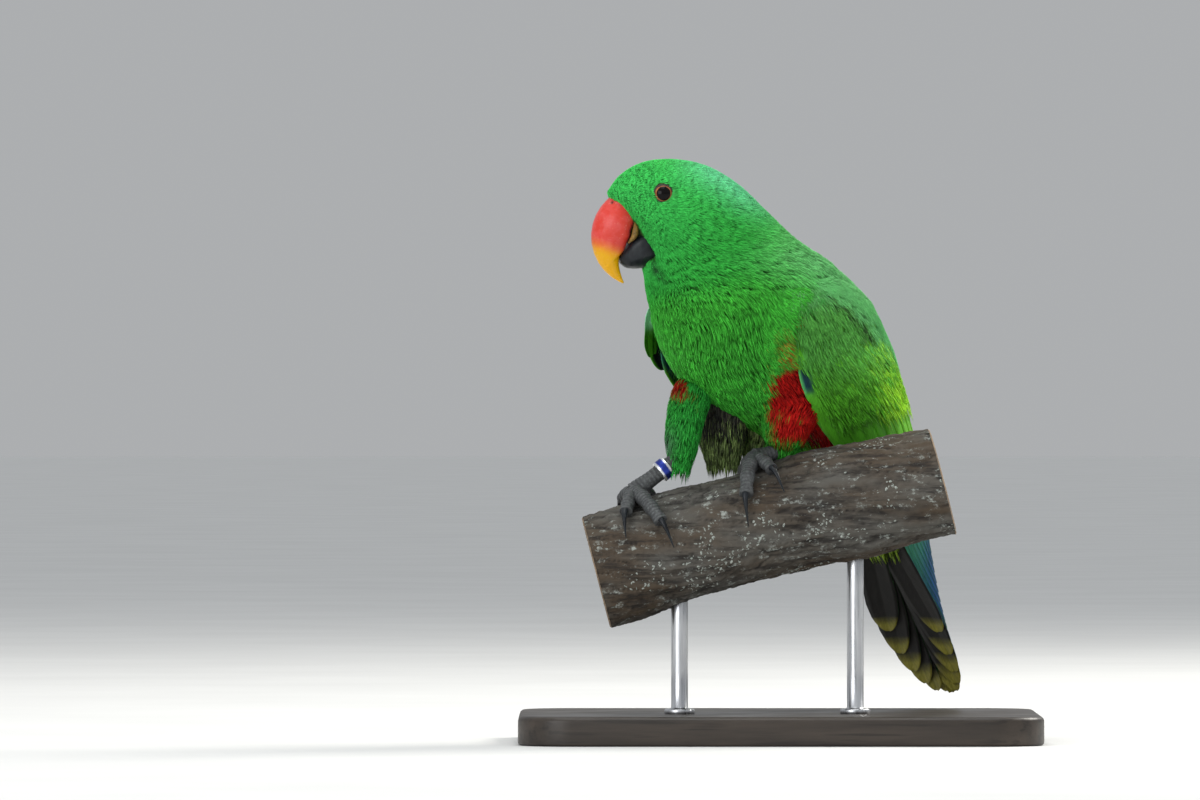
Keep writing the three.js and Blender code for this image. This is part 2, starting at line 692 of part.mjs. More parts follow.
// A point of a toe: how far along it from the middle of the foot, and how high over the bark.
function toePoint(leg, toe, along, over) {
  const sideways = -leg.side * along * Math.sin(radians(toe.turn));
  const round = toe.forward * along * Math.cos(radians(toe.turn));
  const angle = FOOT_ANGLE + (round / (PERCH.radius + over)) * (180 / Math.PI);
  return perchPoint(leg.foot + sideways, angle, over);
}
const FOOT_ANGLE = 4; // the feet stand this far round the perch from its top, towards -Y
const TOE_START = 2.5;
function toeSolid(leg, toe) {
  const steps = 8;
  const points = [];
  for (let step = 0; step <= 6; step++) {
    const along = mix(TOE_START, toe.length, step / 6);
    points.push(toePoint(leg, toe, along, toe.thick + GAP));
  }
  const pads = 3;
  const radiusAt = (t) => toe.thick * (0.9 + 0.07 * Math.cos(2 * Math.PI * pads * t)) * mix(1, 0.84, t);
  return limb(points, radiusAt, 8, steps, overPerch);
}
function clawSolid(leg, toe, grown = 0) {
  const points = [];
  for (let step = 0; step <= 5; step++) {
    const share = step / 5;
    const along = toe.length - CLAW.rooted + CLAW.length * share;
    const arch = toe.thick + 0.6 + 1.6 * Math.sin(Math.PI * share) - (toe.thick - 0.7) * share ** 2;
    points.push(toePoint(leg, toe, along, arch));
  }
  const backwards = points[0].clone().sub(points[1]).normalize();
  points[0].addScaledVector(backwards, 1.5 * grown);
  const radiusAt = (t) => mix(CLAW.thick, CLAW.tip, t ** 1.2) + grown;
  return limb(points, radiusAt, CLAW.sides, CLAW.steps, overPerch);
}
function footSolid(leg) {
  const ankle = stand(...leg.ankle);
  const sole = perchPoint(leg.foot, FOOT_ANGLE, 4.2);
  const radiusAt = (t) => TARSUS.radius * (1 + 0.22 * smoothstep(t, 0.6, 1));
  const tarsus = limb([ankle, ankle.clone().lerp(sole, 0.5), sole], radiusAt, TARSUS.sides, 5, FORWARD);
  return fuse([tarsus, ...TOES.map((toe) => toeSolid(leg, toe))]);
}

// The leg ring: a flat band round the right tarsus, loose by a little.
const RING = { inner: 4.3, outer: 5.3, tall: 5.5, at: 0.42 };
function ringSolid(leg) {
  const ankle = stand(...leg.ankle);
  const sole = perchPoint(leg.foot, FOOT_ANGLE, 4.2);
  const [r, s, h] = [RING.inner, RING.outer, RING.tall / 2];
  const profile = [
    [r, -h],
    [s, -h],
    [s, h],
    [r, h],
    [r, -h],
  ].map(([x, y]) => new THREE.Vector2(x, y));
  const band = new THREE.LatheGeometry(profile, 24);
  const along = sole.clone().sub(ankle).normalize();
  band.applyQuaternion(new THREE.Quaternion().setFromUnitVectors(vec(0, 1, 0), along));
  const { x, y, z } = ankle.clone().lerp(sole, RING.at);
  return asSolid(band.translate(x, y, z));
}

// Finishes.
const finish = (color, roughness, metalness = 0) =>
  new THREE.MeshStandardMaterial({ color, roughness, metalness });
const green = finish(0x1f9a2c, 0.75);
const wingGreen = finish(0x2f8f24, 0.6);
const horn = finish(0xe8452f, 0.3);
const blackHorn = finish(0x23262c, 0.35);
const eyeFinish = finish(0x1a0f0a, 0.05);
const footSkin = finish(0x6c6a66, 0.7);
const bark = finish(0x5c5047, 0.9);
const ringFinish = finish(0x1e2a78, 0.35);
const baseFinish = finish(0x2b2a2a, 0.5);
const steel = finish(0x9a9c9f, 0.35, 1);

const parrot = new THREE.Group();
const bird = new THREE.Group();
const display = new THREE.Group();
parrot.add(bird, display);
function add(name, solid, material, group = bird) {
  const mesh = new THREE.Mesh(asGeometry(largest(solid)), material);
  mesh.name = name;
  group.add(mesh);
}

// Putting it together.
const bills = upperBill(ROOM).add(lowerBill(ROOM));
const wings = { left: { side: 1, away: 1 }, right: { side: -1, away: 8 } };
const whole = bodyLoft();
const { ahead: headAndNeck, behind: trunk } = cutAcross(whole, ...cutPlane(NECK_CUT));
const { ahead: headLoft, behind: neck } = cutAcross(headAndNeck, ...cutPlane(HEAD_CUT));

const trunkRoom = bodyLoft(ROOM);
const perchRoom = perchLoft(ROOM);
const wingRooms = wingRoom(wings.left).add(wingRoom(wings.right));
add("torso", fuse([trunk, flank()]).subtract(wingRooms).subtract(perchRoom), green);
add("neck", neck.subtract(wingRooms), green);
const sockets = eyeball(1, GAP).add(eyeball(-1, GAP));
add("head", fuse([headLoft, lid(1), lid(-1)]).subtract(sockets).subtract(bills), green);
add("bill_upper", upperBill().subtract(nostril(1)).subtract(nostril(-1)), horn);
add("bill_lower", lowerBill().subtract(upperBill(ROOM)), blackHorn);
add("eye_left", eyeball(1), eyeFinish);
add("eye_right", eyeball(-1), eyeFinish);
for (const [name, wing] of Object.entries(wings)) {
  add(`wing_${name}`, wingSolid(wing).subtract(perchRoom), wingGreen);
}
add("tail", tailSolid().subtract(trunkRoom), wingGreen);

for (const [name, leg] of Object.entries(LEGS)) {
  const clawRoom = fuse(TOES.map((toe) => clawSolid(leg, toe, ROOM)));
  const foot = footSolid(leg).subtract(perchRoom).subtract(clawRoom);
  const ankleCut = cutAcross(shank(leg), stand(...leg.ankle).addScaledVector(vec(0, 0, 1), 2.5),
    stand(...leg.hip).sub(stand(...leg.ankle)));
  const legRoom = fuse([trunkRoom, flank(ROOM), wingRooms]);
  add(`leg_${name}`, ankleCut.ahead.subtract(legRoom), green);
  add(`foot_${name}`, cutAcross(foot, stand(...leg.ankle).addScaledVector(vec(0, 0, 1), 2.2),
    stand(...leg.hip).sub(stand(...leg.ankle))).behind, footSkin);
  for (const toe of TOES) add(`claw_${name}_${toe.name}`, clawSolid(leg, toe), blackHorn);
  if (leg.ring) add("leg_ring", ringSolid(leg), ringFinish);
}

const rodHoles = fuse(ROD.at.map((x) => rodSolid(x, GAP)));
add("perch", perchLoft().subtract(rodHoles), bark, display);
add("stand_base", baseSolid().subtract(rodHoles), baseFinish, display);
ROD.at.forEach((x, i) => add(`stand_rod_${i + 1}`, rodSolid(x), steel, display));

export default parrot;
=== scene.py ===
"""A male eclectus parrot at life size, leaning forward on a cut length of branch over a plain display
stand. Lengths are in millimetres until a mesh is made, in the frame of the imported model."""

import bpy
import numpy as np
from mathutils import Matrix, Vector, kdtree, noise


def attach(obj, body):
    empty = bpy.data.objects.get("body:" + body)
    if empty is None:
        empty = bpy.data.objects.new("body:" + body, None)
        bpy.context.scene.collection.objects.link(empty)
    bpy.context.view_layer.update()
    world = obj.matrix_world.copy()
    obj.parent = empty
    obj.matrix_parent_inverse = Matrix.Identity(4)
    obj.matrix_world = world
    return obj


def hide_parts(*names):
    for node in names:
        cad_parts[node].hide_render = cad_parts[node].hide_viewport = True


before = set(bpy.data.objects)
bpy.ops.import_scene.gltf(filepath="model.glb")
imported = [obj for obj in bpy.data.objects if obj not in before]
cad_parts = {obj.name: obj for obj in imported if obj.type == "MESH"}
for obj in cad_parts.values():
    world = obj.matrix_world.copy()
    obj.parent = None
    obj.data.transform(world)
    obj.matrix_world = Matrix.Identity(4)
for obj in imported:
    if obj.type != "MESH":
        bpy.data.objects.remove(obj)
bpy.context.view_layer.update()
MM = 0.001


# The display base is a flat board of dark stained oak, its edges rounded over with a router and its
# face waxed. Its grain runs along the branch.
BASE = {"long": 250, "deep": 180, "thick": 14, "corner": 26, "round": 2.6, "flat": 12}
STAIN_DARK = (0.018, 0.014, 0.011, 1)
STAIN_LIGHT = (0.062, 0.047, 0.036, 1)


def all_round(count, whole=2 * np.pi):
    """Evenly spaced angles all the way round."""
    return np.linspace(0, whole, count, endpoint=False)


def placed(name, data):
    """A new object in the scene."""
    piece = bpy.data.objects.new(name, data)
    bpy.context.scene.collection.objects.link(piece)
    return piece


def join_mesh(name, points, faces, material):
    """A linked object from points in millimetres and arrays of faces, one array for each face size."""
    mesh = bpy.data.meshes.new(name)
    sizes = np.concatenate([np.full(len(part), part.shape[1]) for part in faces])
    corners = np.concatenate([part.ravel() for part in faces]).astype(np.int32)
    mesh.vertices.add(len(points))
    mesh.vertices.foreach_set("co", (np.asarray(points) * MM).astype(np.float32).ravel())
    mesh.loops.add(len(corners))
    mesh.loops.foreach_set("vertex_index", corners)
    mesh.polygons.add(len(sizes))
    starts = np.concatenate([[0], np.cumsum(sizes)[:-1]]).astype(np.int32)
    mesh.polygons.foreach_set("loop_start", starts)
    mesh.polygons.foreach_set("use_smooth", np.full(len(sizes), True))
    mesh.update(calc_edges=True)
    mesh.materials.append(material)
    return placed(name, mesh)


def tube_faces(rings, sides):
    """Quads between rings of points, with a fan at each end round a last and a last but one point."""
    k = np.arange(sides)
    after = (k + 1) % sides
    start = np.arange(rings - 1)[:, None] * sides
    a, b = start + k, start + after
    quads = np.stack([a, b, b + sides, a + sides], -1).reshape(-1, 4)
    first = np.stack([np.full(sides, rings * sides), after, k], -1)
    far = (rings - 1) * sides
    last = np.stack([np.full(sides, rings * sides + 1), far + k, far + after], -1)
    return [quads, np.concatenate([first, last])]


def hoop_faces(turns, sides):
    """Quads round a hoop of points, whose last turn meets its first."""
    return tube_faces(turns + 1, sides)[0] % (turns * sides)


def tube(name, grid, material):
    """A closed tube through a grid of points, rings by sides by 3."""
    rings, sides = grid.shape[:2]
    ends = np.stack([grid[0].mean(0), grid[-1].mean(0)])
    points = np.concatenate([grid.reshape(-1, 3), ends])
    faces = tube_faces(rings, sides)
    # the faces are turned over where the tube runs the other way round
    middle = grid.mean(1, keepdims=True)
    across = np.cross(grid[:, 1:] - grid[:, :-1], middle - grid[:, :-1])[:-1]
    if (across * (middle[1:] - middle[:-1])).sum() > 0:
        faces = [part[:, ::-1] for part in faces]
    return join_mesh(name, points, faces, material)


class Finish:
    """A material whose nodes are added one by one. A node's inputs are given as numbers, colours or
    the outputs of other nodes, and gloss is how strongly the surface mirrors."""

    def __init__(self, name, gloss=0.5, **sockets):
        self.material = bpy.data.materials.new(name)
        self.material.use_nodes = True
        self.tree = self.material.node_tree
        self.shader = self.tree.nodes["Principled BSDF"]
        self.place = self.tree.nodes.new("ShaderNodeTexCoord").outputs["Object"]
        self.shader.inputs["Specular IOR Level"].default_value = gloss
        for socket, value in sockets.items():
            self.shader.inputs[socket.replace("_", " ")].default_value = value

    def node(self, kind, inputs=(), **settings):
        made = self.tree.nodes.new("ShaderNode" + kind)
        for key, value in settings.items():
            setattr(made, key, value)
        for key, value in dict(inputs).items():
            self.set(made.inputs[key], value)
        return made

    def set(self, socket, value):
        if isinstance(value, bpy.types.NodeSocket):
            self.tree.links.new(value, socket)
        else:
            socket.default_value = value

    def noise(self, scale, detail=3.0, rough=0.55, at=None, stretch=None):
        at = self.place if at is None else at
        if stretch is not None:
            at = self.node("Mapping", {"Vector": at, "Scale": stretch}).outputs[0]
        inputs = {"Vector": at, "Scale": scale, "Detail": detail, "Roughness": rough}
        return self.node("TexNoise", inputs).outputs["Fac"]

    def attribute(self, name, output="Color"):
        return self.node("Attribute", attribute_name=name).outputs[output]

    def ramp(self, value, *stops):
        made = self.node("ValToRGB", {"Fac": value})
        marks = made.color_ramp.elements
        while len(marks) < len(stops):
            marks.new(0.5)
        for mark, (at, colour) in zip(marks, stops):
            mark.position = at
            mark.color = colour if isinstance(colour, tuple) else (colour, colour, colour, 1)
        return made.outputs["Color"]

    def mix(self, share, first, second, blend="MIX"):
        made = self.node("Mix", data_type="RGBA", blend_type=blend)
        for index, value in ((0, share), (6, first), (7, second)):
            self.set(made.inputs[index], value)
        return made.outputs[2]

    def stain(self, colour, target, value, *stops):
        """The target colour over another, as strong as a ramp makes it."""
        return self.mix(self.ramp(value, *stops), colour, target)

    def math(self, operation, first, second=0.0):
        return self.node("Math", {0: first, 1: second}, operation=operation).outputs[0]

    def plus(self, first, second, times):
        return self.math("ADD", first, self.math("MULTIPLY", second, times))

    def bump(self, height, strength, distance, normal=None):
        inputs = {"Height": height, "Strength": strength, "Distance": distance}
        if normal is not None:
            inputs["Normal"] = normal
        return self.node("Bump", inputs).outputs["Normal"]

    def wear(self, colour, rough, normal=None):
        self.set(self.shader.inputs["Base Color"], colour)
        self.set(self.shader.inputs["Roughness"], rough)
        if normal is not None:
            self.set(self.shader.inputs["Normal"], normal)
        return self.material


def stained_wood():
    finish = Finish("stained_wood", gloss=0.4)
    grain = finish.noise(55, 6, 0.62, stretch=(0.14, 1.6, 1.6))
    pores = finish.noise(420, 2, 0.5, stretch=(0.05, 1.0, 1.0))
    colour = finish.ramp(grain, (0.3, STAIN_DARK), (0.72, STAIN_LIGHT))
    colour = finish.stain(colour, STAIN_DARK, pores, (0.36, 0.75), (0.46, 0.0))
    normal = finish.bump(pores, 0.25, 0.0002, finish.bump(grain, 0.2, 0.0004))
    rough = finish.ramp(finish.noise(30, 3), (0.3, 0.34), (0.7, 0.5))
    return finish.wear(colour, rough, normal)


def base_board():
    steps, corner_steps = 8, 12
    turn = np.linspace(0, np.pi / 2, corner_steps + 1)
    turns = np.concatenate([turn + k * np.pi / 2 for k in range(4)])
    quarter = np.repeat(np.arange(4), corner_steps + 1)
    side_x = np.where((quarter == 0) | (quarter == 3), 1, -1)
    side_y = np.where(quarter < 2, 1, -1)
    inner_x = side_x * (BASE["long"] / 2 - BASE["corner"])
    inner_y = side_y * (BASE["deep"] / 2 - BASE["corner"])
    lift = np.linspace(0, np.pi / 2, steps + 1)
    edge, top = BASE["round"], BASE["thick"]
    section = [(-BASE["flat"], 0), (-edge, 0)]
    section += [(-edge + edge * np.sin(a), edge * (1 - np.cos(a)) * 0.5) for a in lift[1:]]
    section += [(-edge + edge * np.cos(a), top - edge + edge * np.sin(a)) for a in lift]
    section += [(-BASE["flat"], top)]
    rings = []
    for out, height in section:
        reach = BASE["corner"] + out
        x, y = inner_x + reach * np.cos(turns), inner_y + reach * np.sin(turns)
        rings.append(np.stack([x, y, np.full(len(x), float(height))], -1))
    return tube("oak_base", np.array(rings), stained_wood())


base = base_board()
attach(base, "root")
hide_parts("stand_base")


# Two short rods of brushed steel stand in the base and go up into the perch. Each has a turned
# collar where it meets the wood.
ROD = {"radius": 4, "at": (-48, 36), "into": 9, "sides": 48, "chamfer": 0.4, "middle": 20}
COLLAR = {"radius": 7.2, "tall": 2.6, "round": 0.8, "chamfer": 0.2, "fillet": 0.6}
PERCH = {
    "radius": 27, "from": -88, "to": 78, "across": -27, "height": 107.5, "slope": 0.26, "bend": 3,
    "skew": 1.5,
}
# the perch's slow waves, as height, length along it and turns round it, and its knot
WAVES = ((0.9, 17, 2), (0.6, 9, -3))
KNOT = {"x": 40, "angle": 225, "tall": 5, "long": 13, "wide": 30}


def perch_middle(x):
    """The branch's middle line at X."""
    half = (PERCH["to"] - PERCH["from"]) / 2
    off = (x - (PERCH["from"] + PERCH["to"]) / 2) / half
    height = PERCH["height"] + PERCH["slope"] * x - PERCH["bend"] * off * off
    return np.stack([x, PERCH["across"] + PERCH["skew"] * off, height], -1)


def hump(value, middle, width):
    """A bell curve, 1 at its middle and nearly 0 at twice its width from there."""
    return np.exp(-(((value - middle) / width) ** 2))


def perch_radius(x, angle):
    """The branch's radius at X, at an angle in degrees from its top."""
    waves = sum(tall * np.sin(x / long + turns * np.radians(angle)) for tall, long, turns in WAVES)
    away = (angle - KNOT["angle"] + 540) % 360 - 180
    knot = hump(x, KNOT["x"], KNOT["long"]) * hump(away, 0, KNOT["wide"])
    return PERCH["radius"] + waves + KNOT["tall"] * knot


def brushed_steel():
    finish = Finish("brushed_steel", Metallic=1.0)
    lines = finish.noise(900, 2, 0.6, stretch=(1.0, 1.0, 0.03))
    colour = finish.ramp(lines, (0.3, (0.42, 0.43, 0.45, 1)), (0.7, (0.66, 0.67, 0.69, 1)))
    rough = finish.ramp(lines, (0.3, 0.24), (0.7, 0.4))
    return finish.wear(colour, rough, finish.bump(lines, 0.15, 0.0001))


def turned_piece(name, x, y, section, sides, material):
    """A piece turned about an upright line at X and Y. Its section is in rows of radius and height."""
    around = all_round(sides)
    rings = [
        np.stack([x + r * np.cos(around), y + r * np.sin(around), np.full(sides, float(z))], -1)
        for r, z in section
    ]
    return tube(name, np.array(rings), material)


steel = brushed_steel()
for number, x in enumerate(ROD["at"], 1):
    middle = perch_middle(x)
    bottom = BASE["thick"] - ROD["into"]
    top = middle[2] - perch_radius(x, 180) + ROD["into"]
    r, end, far, seat = ROD["radius"], ROD["chamfer"], ROD["middle"], BASE["thick"]
    c, low, soft, fillet = COLLAR["radius"], COLLAR["chamfer"], COLLAR["round"], COLLAR["fillet"]
    lip = seat + COLLAR["tall"]
    section = [(r - end, bottom), (r, bottom + end), (r, seat), (c - low, seat), (c, seat + low)]
    section += [(c, lip - soft), (c - soft * 0.3, lip - soft * 0.3), (c - soft, lip)]
    section += [(r + fillet, lip), (r, lip + fillet), (r, seat + far), (r, top - far)]
    section += [(r, top - end), (r - end, top)]
    rod = turned_piece(f"steel_rod_{number}", x, middle[1], section, ROD["sides"], steel)
    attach(rod, "root")
    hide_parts(f"stand_rod_{number}")


# The perch is a short length of old weathered branch, sawn across at both ends. Its bark is mostly
# worn away, which leaves grey ridged wood with cracks, a knot and pale crusts of lichen.
BARK = {
    "rings": 270, "sides": 190, "ridge": 1.15, "crack": 0.825, "worn": 0.5, "end_rings": 26,
    "chamfer": 0.8, "inset": 0.7,
}
WOOD_GREY = (0.096, 0.091, 0.08, 1)
WOOD_BROWN = (0.072, 0.053, 0.036, 1)
WOOD_DARK = (0.014, 0.012, 0.011, 1)
LICHEN_PALE = (0.36, 0.39, 0.36, 1)
SAWN_PALE = (0.42, 0.3, 0.19, 1)
SAWN_DARK = (0.2, 0.13, 0.08, 1)
ALONG_PERCH = np.array([1, 0, PERCH["slope"]]) / np.hypot(1, PERCH["slope"])
OVER_PERCH = np.array([-PERCH["slope"], 0, 1]) / np.hypot(1, PERCH["slope"])


def perch_point(x, angle, over=0.0):
    """A point over the bark: angle 0 is the branch's top, and 90 is its side towards -Y."""
    reach = (perch_radius(x, angle) + over)[..., None]
    round_ = np.radians(angle)[..., None]
    across = np.array([0.0, -1.0, 0.0])
    return perch_middle(x) + OVER_PERCH * reach * np.cos(round_) + across * reach * np.sin(round_)


def rough_field(points, scale, stretch, octaves):
    """Fractal noise at points, drawn out along the branch."""
    places = points.reshape(-1, 3) * np.array([scale * stretch, scale, scale])
    values = [noise.fractal(Vector(place), 0.7, 2.1, octaves) for place in places.tolist()]
    return np.array(values).reshape(points.shape[:-1])


def bark_relief(x, angle):
    """How far the worn wood stands over or under the branch's plain round, in millimetres."""
    plain = perch_point(x, angle)
    ridges = rough_field(plain, 0.16, 0.16, 4)
    scales = rough_field(plain + 50, 0.42, 0.45, 3)
    cracks = rough_field(plain - 80, 0.12, 0.1, 2)
    split = hump(cracks, 0, 0.045)
    return BARK["ridge"] * (0.75 * ridges + 0.4 * scales) - BARK["crack"] * split - BARK["worn"]


def old_wood():
    finish = Finish("old_wood", gloss=0.3)
    fibres = finish.noise(260, 5, 0.65, stretch=(0.13, 1.0, 1.0))
    patches = finish.noise(38, 3, 0.6, stretch=(0.5, 1.0, 1.0))
    specks = finish.noise(520, 3, 0.7)
    flecks = finish.noise(240, 5, 0.78, stretch=(0.55, 1.0, 1.0))
    colour = finish.stain(WOOD_GREY, WOOD_BROWN, patches, (0.4, 0.0), (0.62, 1.0))
    colour = finish.stain(colour, WOOD_DARK, fibres, (0.36, 0.85), (0.52, 0.0))
    hollow = finish.attribute("hollow", "Fac")
    colour = finish.stain(colour, WOOD_DARK, hollow, (0.0, 0.0), (1.0, 0.85))
    pale = finish.ramp(flecks, (0.56, 0.0), (0.64, 0.8))
    pale = finish.math("MULTIPLY", pale, finish.ramp(specks, (0.42, 0.1), (0.6, 1.0)))
    colour = finish.mix(pale, colour, LICHEN_PALE)
    normal = finish.bump(finish.plus(fibres, specks, 0.5), 0.7, 0.0007)
    rough = finish.ramp(specks, (0.3, 0.72), (0.7, 0.95))
    return finish.wear(colour, rough, normal)


def sawn_wood():
    finish = Finish("sawn_wood", gloss=0.3)
    years = finish.plus(finish.attribute("years", "Fac"), finish.noise(45, 3), 2.4)
    wave = finish.math("SINE", finish.math("MULTIPLY", years, 3.6))
    colour = finish.stain(SAWN_PALE, SAWN_DARK, wave, (0.25, 0.0), (0.9, 1.0))
    marks = finish.noise(300, 2, 0.5, stretch=(1.0, 0.08, 1.4))
    colour = finish.stain(colour, SAWN_DARK, marks, (0.3, 0.45), (0.6, 0.0))
    grey = finish.ramp(finish.noise(60, 4), (0.35, 0.2), (0.7, 0.75))
    colour = finish.mix(grey, colour, WOOD_GREY)
    normal = finish.bump(marks, 0.5, 0.0004)
    return finish.wear(colour, 0.85, normal)


def mark(piece, name, values, kind="FLOAT"):
    """Gives a piece a number, vector or colour for each vertex, which its material reads."""
    field = {"FLOAT": "value", "FLOAT_VECTOR": "vector", "FLOAT_COLOR": "color"}[kind]
    layer = piece.data.attributes.new(name, kind, "POINT")
    layer.data.foreach_set(field, np.asarray(values, np.float32).ravel())


def branch():
    """The branch's bark between two sawn ends, which are discs of rings in a material of their own."""
    sides, end_rings = BARK["sides"], BARK["end_rings"]
    x = np.linspace(PERCH["from"], PERCH["to"], BARK["rings"])
    xs, angles = np.meshgrid(x, all_round(sides, 360), indexing="ij")
    relief = bark_relief(xs, angles)
    bark = perch_point(xs, angles, relief)
    shares = np.linspace(0.02, 1, end_rings)
    inner = (shares * (1 - BARK["chamfer"] / PERCH["radius"]))[:, None, None]
    discs = [perch_middle(x[end]) + (bark[end] - perch_middle(x[end])) * inner for end in (0, -1)]
    bark[0] += ALONG_PERCH * BARK["inset"]
    bark[-1] -= ALONG_PERCH * BARK["inset"]
    piece = tube("branch", np.concatenate([discs[0], bark, discs[1][::-1]]), old_wood())
    hollow = np.clip(-(relief + 0.6) / 1.3, 0, 1)
    plain = np.zeros((end_rings, sides))
    year = plain + (shares * PERCH["radius"])[:, None]
    for name, parts in (("hollow", (plain, hollow, plain)), ("years", (year, hollow * 0, year[::-1]))):
        mark(piece, name, np.append(np.concatenate(parts), (0, 0)))
    piece.data.materials.append(sawn_wood())
    sawn = np.zeros(len(piece.data.polygons), np.int32)
    sawn[: end_rings * sides] = 1
    sawn[(end_rings + BARK["rings"] - 1) * sides :] = 1
    piece.data.polygons.foreach_set("material_index", sawn)
    return piece


def lichen_crust():
    finish = Finish("lichen_crust", gloss=0.2)
    grain = finish.noise(700, 4, 0.7)
    colour = finish.ramp(grain, (0.32, (0.13, 0.15, 0.13, 1)), (0.68, (0.46, 0.49, 0.45, 1)))
    return finish.wear(colour, 0.95, finish.bump(grain, 0.8, 0.0004))


def scatter_on(host, name, material, density, size, seed):
    """Low crusts over a host's faces: a Geometry Nodes tree places them, and its result is made a mesh."""
    tree = bpy.data.node_groups.new(name, "GeometryNodeTree")
    for way in ("INPUT", "OUTPUT"):
        tree.interface.new_socket("Geometry", in_out=way, socket_type="NodeSocketGeometry")
    sockets = {}
    sizes = (("Density", "Float", density), ("Size", "Float", size), ("Seed", "Int", seed))
    for label, kind, value in sizes:
        socket = tree.interface.new_socket(label, in_out="INPUT", socket_type="NodeSocket" + kind)
        sockets[socket.identifier] = value
    # each node's name, kind, settings and inputs that no other node gives
    nodes = {}
    for label, kind, settings, inputs in (
        ("given", "NodeGroupInput", {}, {}),
        ("patches", "ShaderNodeTexNoise", {}, {"Scale": 42}),
        ("chosen", "FunctionNodeCompare", {}, {"B": 0.56}),
        ("points", "GeometryNodeDistributePointsOnFaces", {}, {}),
        ("crust", "GeometryNodeMeshIcoSphere", {}, {"Subdivisions": 1}),
        ("turn", "FunctionNodeRandomValue", {"data_type": "FLOAT_VECTOR"}, {"Max": (0.25, 0.25, 6.28)}),
        ("spread", "FunctionNodeRandomValue", {"data_type": "FLOAT_VECTOR"},
         {"Min": (0.25, 0.2, 0.06), "Max": (1.6, 0.9, 0.22)}),
        ("rotate", "FunctionNodeRotateRotation", {"rotation_space": "LOCAL"}, {}),
        ("scale", "ShaderNodeVectorMath", {"operation": "SCALE"}, {}),
        ("place", "GeometryNodeInstanceOnPoints", {}, {}),
        ("real", "GeometryNodeRealizeInstances", {}, {}),
        ("coat", "GeometryNodeSetMaterial", {}, {"Material": material}),
        ("result", "NodeGroupOutput", {}, {}),
    ):
        nodes[label] = tree.nodes.new(kind)
        for key, value in settings.items():
            setattr(nodes[label], key, value)
        for key, value in inputs.items():
            nodes[label].inputs[key].default_value = value
    for start, output, end, socket in (
        ("given", "Geometry", "points", "Mesh"), ("patches", "Fac", "chosen", "A"),
        ("chosen", "Result", "points", "Selection"), ("given", "Density", "points", "Density"),
        ("given", "Seed", "points", "Seed"), ("given", "Seed", "turn", "Seed"),
        ("given", "Seed", "spread", "Seed"), ("points", "Points", "place", "Points"),
        ("crust", "Mesh", "place", "Instance"), ("points", "Rotation", "rotate", "Rotation"),
        ("turn", "Value", "rotate", "Rotate By"), ("rotate", "Rotation", "place", "Rotation"),
        ("spread", "Value", "scale", "Vector"), ("given", "Size", "scale", "Scale"),
        ("scale", "Vector", "place", "Scale"), ("place", "Instances", "real", "Geometry"),
        ("real", "Geometry", "coat", "Geometry"), ("coat", "Geometry", "result", "Geometry"),
    ):
        tree.links.new(nodes[start].outputs[output], nodes[end].inputs[socket])
    modifier = host.modifiers.new(name, "NODES")
    modifier.node_group = tree
    for identifier, value in sockets.items():
        modifier[identifier] = value
    mesh = baked_mesh(host)
    mesh.name = name
    return placed(name, mesh)


def baked_mesh(host):
    """The mesh of an object after its modifiers, which are then removed."""
    bpy.context.view_layer.update()
    made = host.evaluated_get(bpy.context.evaluated_depsgraph_get())
    mesh = bpy.data.meshes.new_from_object(made)
    host.modifiers.clear()
    return mesh


perch = branch()
lichen = scatter_on(perch, "lichen", lichen_crust(), density=150000.0, size=0.0008, seed=7)
for piece in (perch, lichen):
    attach(piece, "root")
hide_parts("perch")


# The bird's body leans forward, and its head is turned to its right. The skin is one closed surface
# over trunk, neck, head, wing arms, shanks and tail stump, and lies under the plumage.
BELLY_UP = 164
BODY_YAW = 45
HEAD_TURN = 37
NECK_FORWARD = 40
TWIST = (62, 98)
# how square the sections are, how far the face bulges at its end, and where the trunk closes behind
FULLNESS = 0.9
FACE_BULGE = 1.6
TRUNK_END = 1.9
TRUNK_CLOSES = (0.7, 9)
# sections from the tail's root to the face: back and belly as ahead and up, and half the width
STATIONS = (
    ((-114, -120), (-102, -126), 12),
    ((-99, -86), (-78, -97), 16),
    ((-86, -54), (-54, -68), 22),
    ((-75.5, -28.5), (-29, -44), 31),
    ((-65.5, -6.5), (1, -20), 37.5),
    ((-57, 12.5), (34, -2), 41.5),
    ((-48, 31), (57, 16), 44),
    ((-37.5, 50.5), (69.5, 33.5), 44),
    ((-20, 66), (74, 45.5), 39.5),
    ((0, 77.5), (75.4, 51), 31.5),
    ((17.5, 89.5), (76, 54.8), 25.5),
    ((32, 102.8), (76.4, 57.6), 22.4),
    ((47, 111.6), (76.7, 59.9), 21),
    ((63.5, 114.8), (77, 61.5), 20.4),
    ((78, 113.2), (77.2, 63), 18.4),
    ((88.5, 107.2), (77.2, 64.2), 15.2),
    ((94.6, 99.5), (77.2, 66), 10.8),
)
LAST = len(STATIONS) - 1
MM_PER_STATION = 20
BODY_AHEAD = np.array([-np.cos(np.radians(BODY_YAW)), -np.sin(np.radians(BODY_YAW)), 0])
BODY_LEFT = np.array([-BODY_AHEAD[1], BODY_AHEAD[0], 0])
UP = np.array([0.0, 0.0, 1.0])
SIDES = {"left": 1, "right": -1}


def smooth(value, low, high):
    """0 below low, 1 above high, and a smooth rise between."""
    share = np.clip((value - low) / (high - low), 0, 1)
    return share * share * (3 - 2 * share)


def fade(value, low, high):
    """1 below low, 0 above high, and a smooth fall between."""
    return 1 - smooth(value, low, high)


def mix(low, high, share):
    return low + (high - low) * share


def unit(vectors):
    return vectors / (np.linalg.norm(vectors, axis=-1)[..., None] + 1e-9)


def signed(angle):
    """An angle round the body from its back, between -180 and 180 degrees. The right is negative."""
    return (angle + 180) % 360 - 180


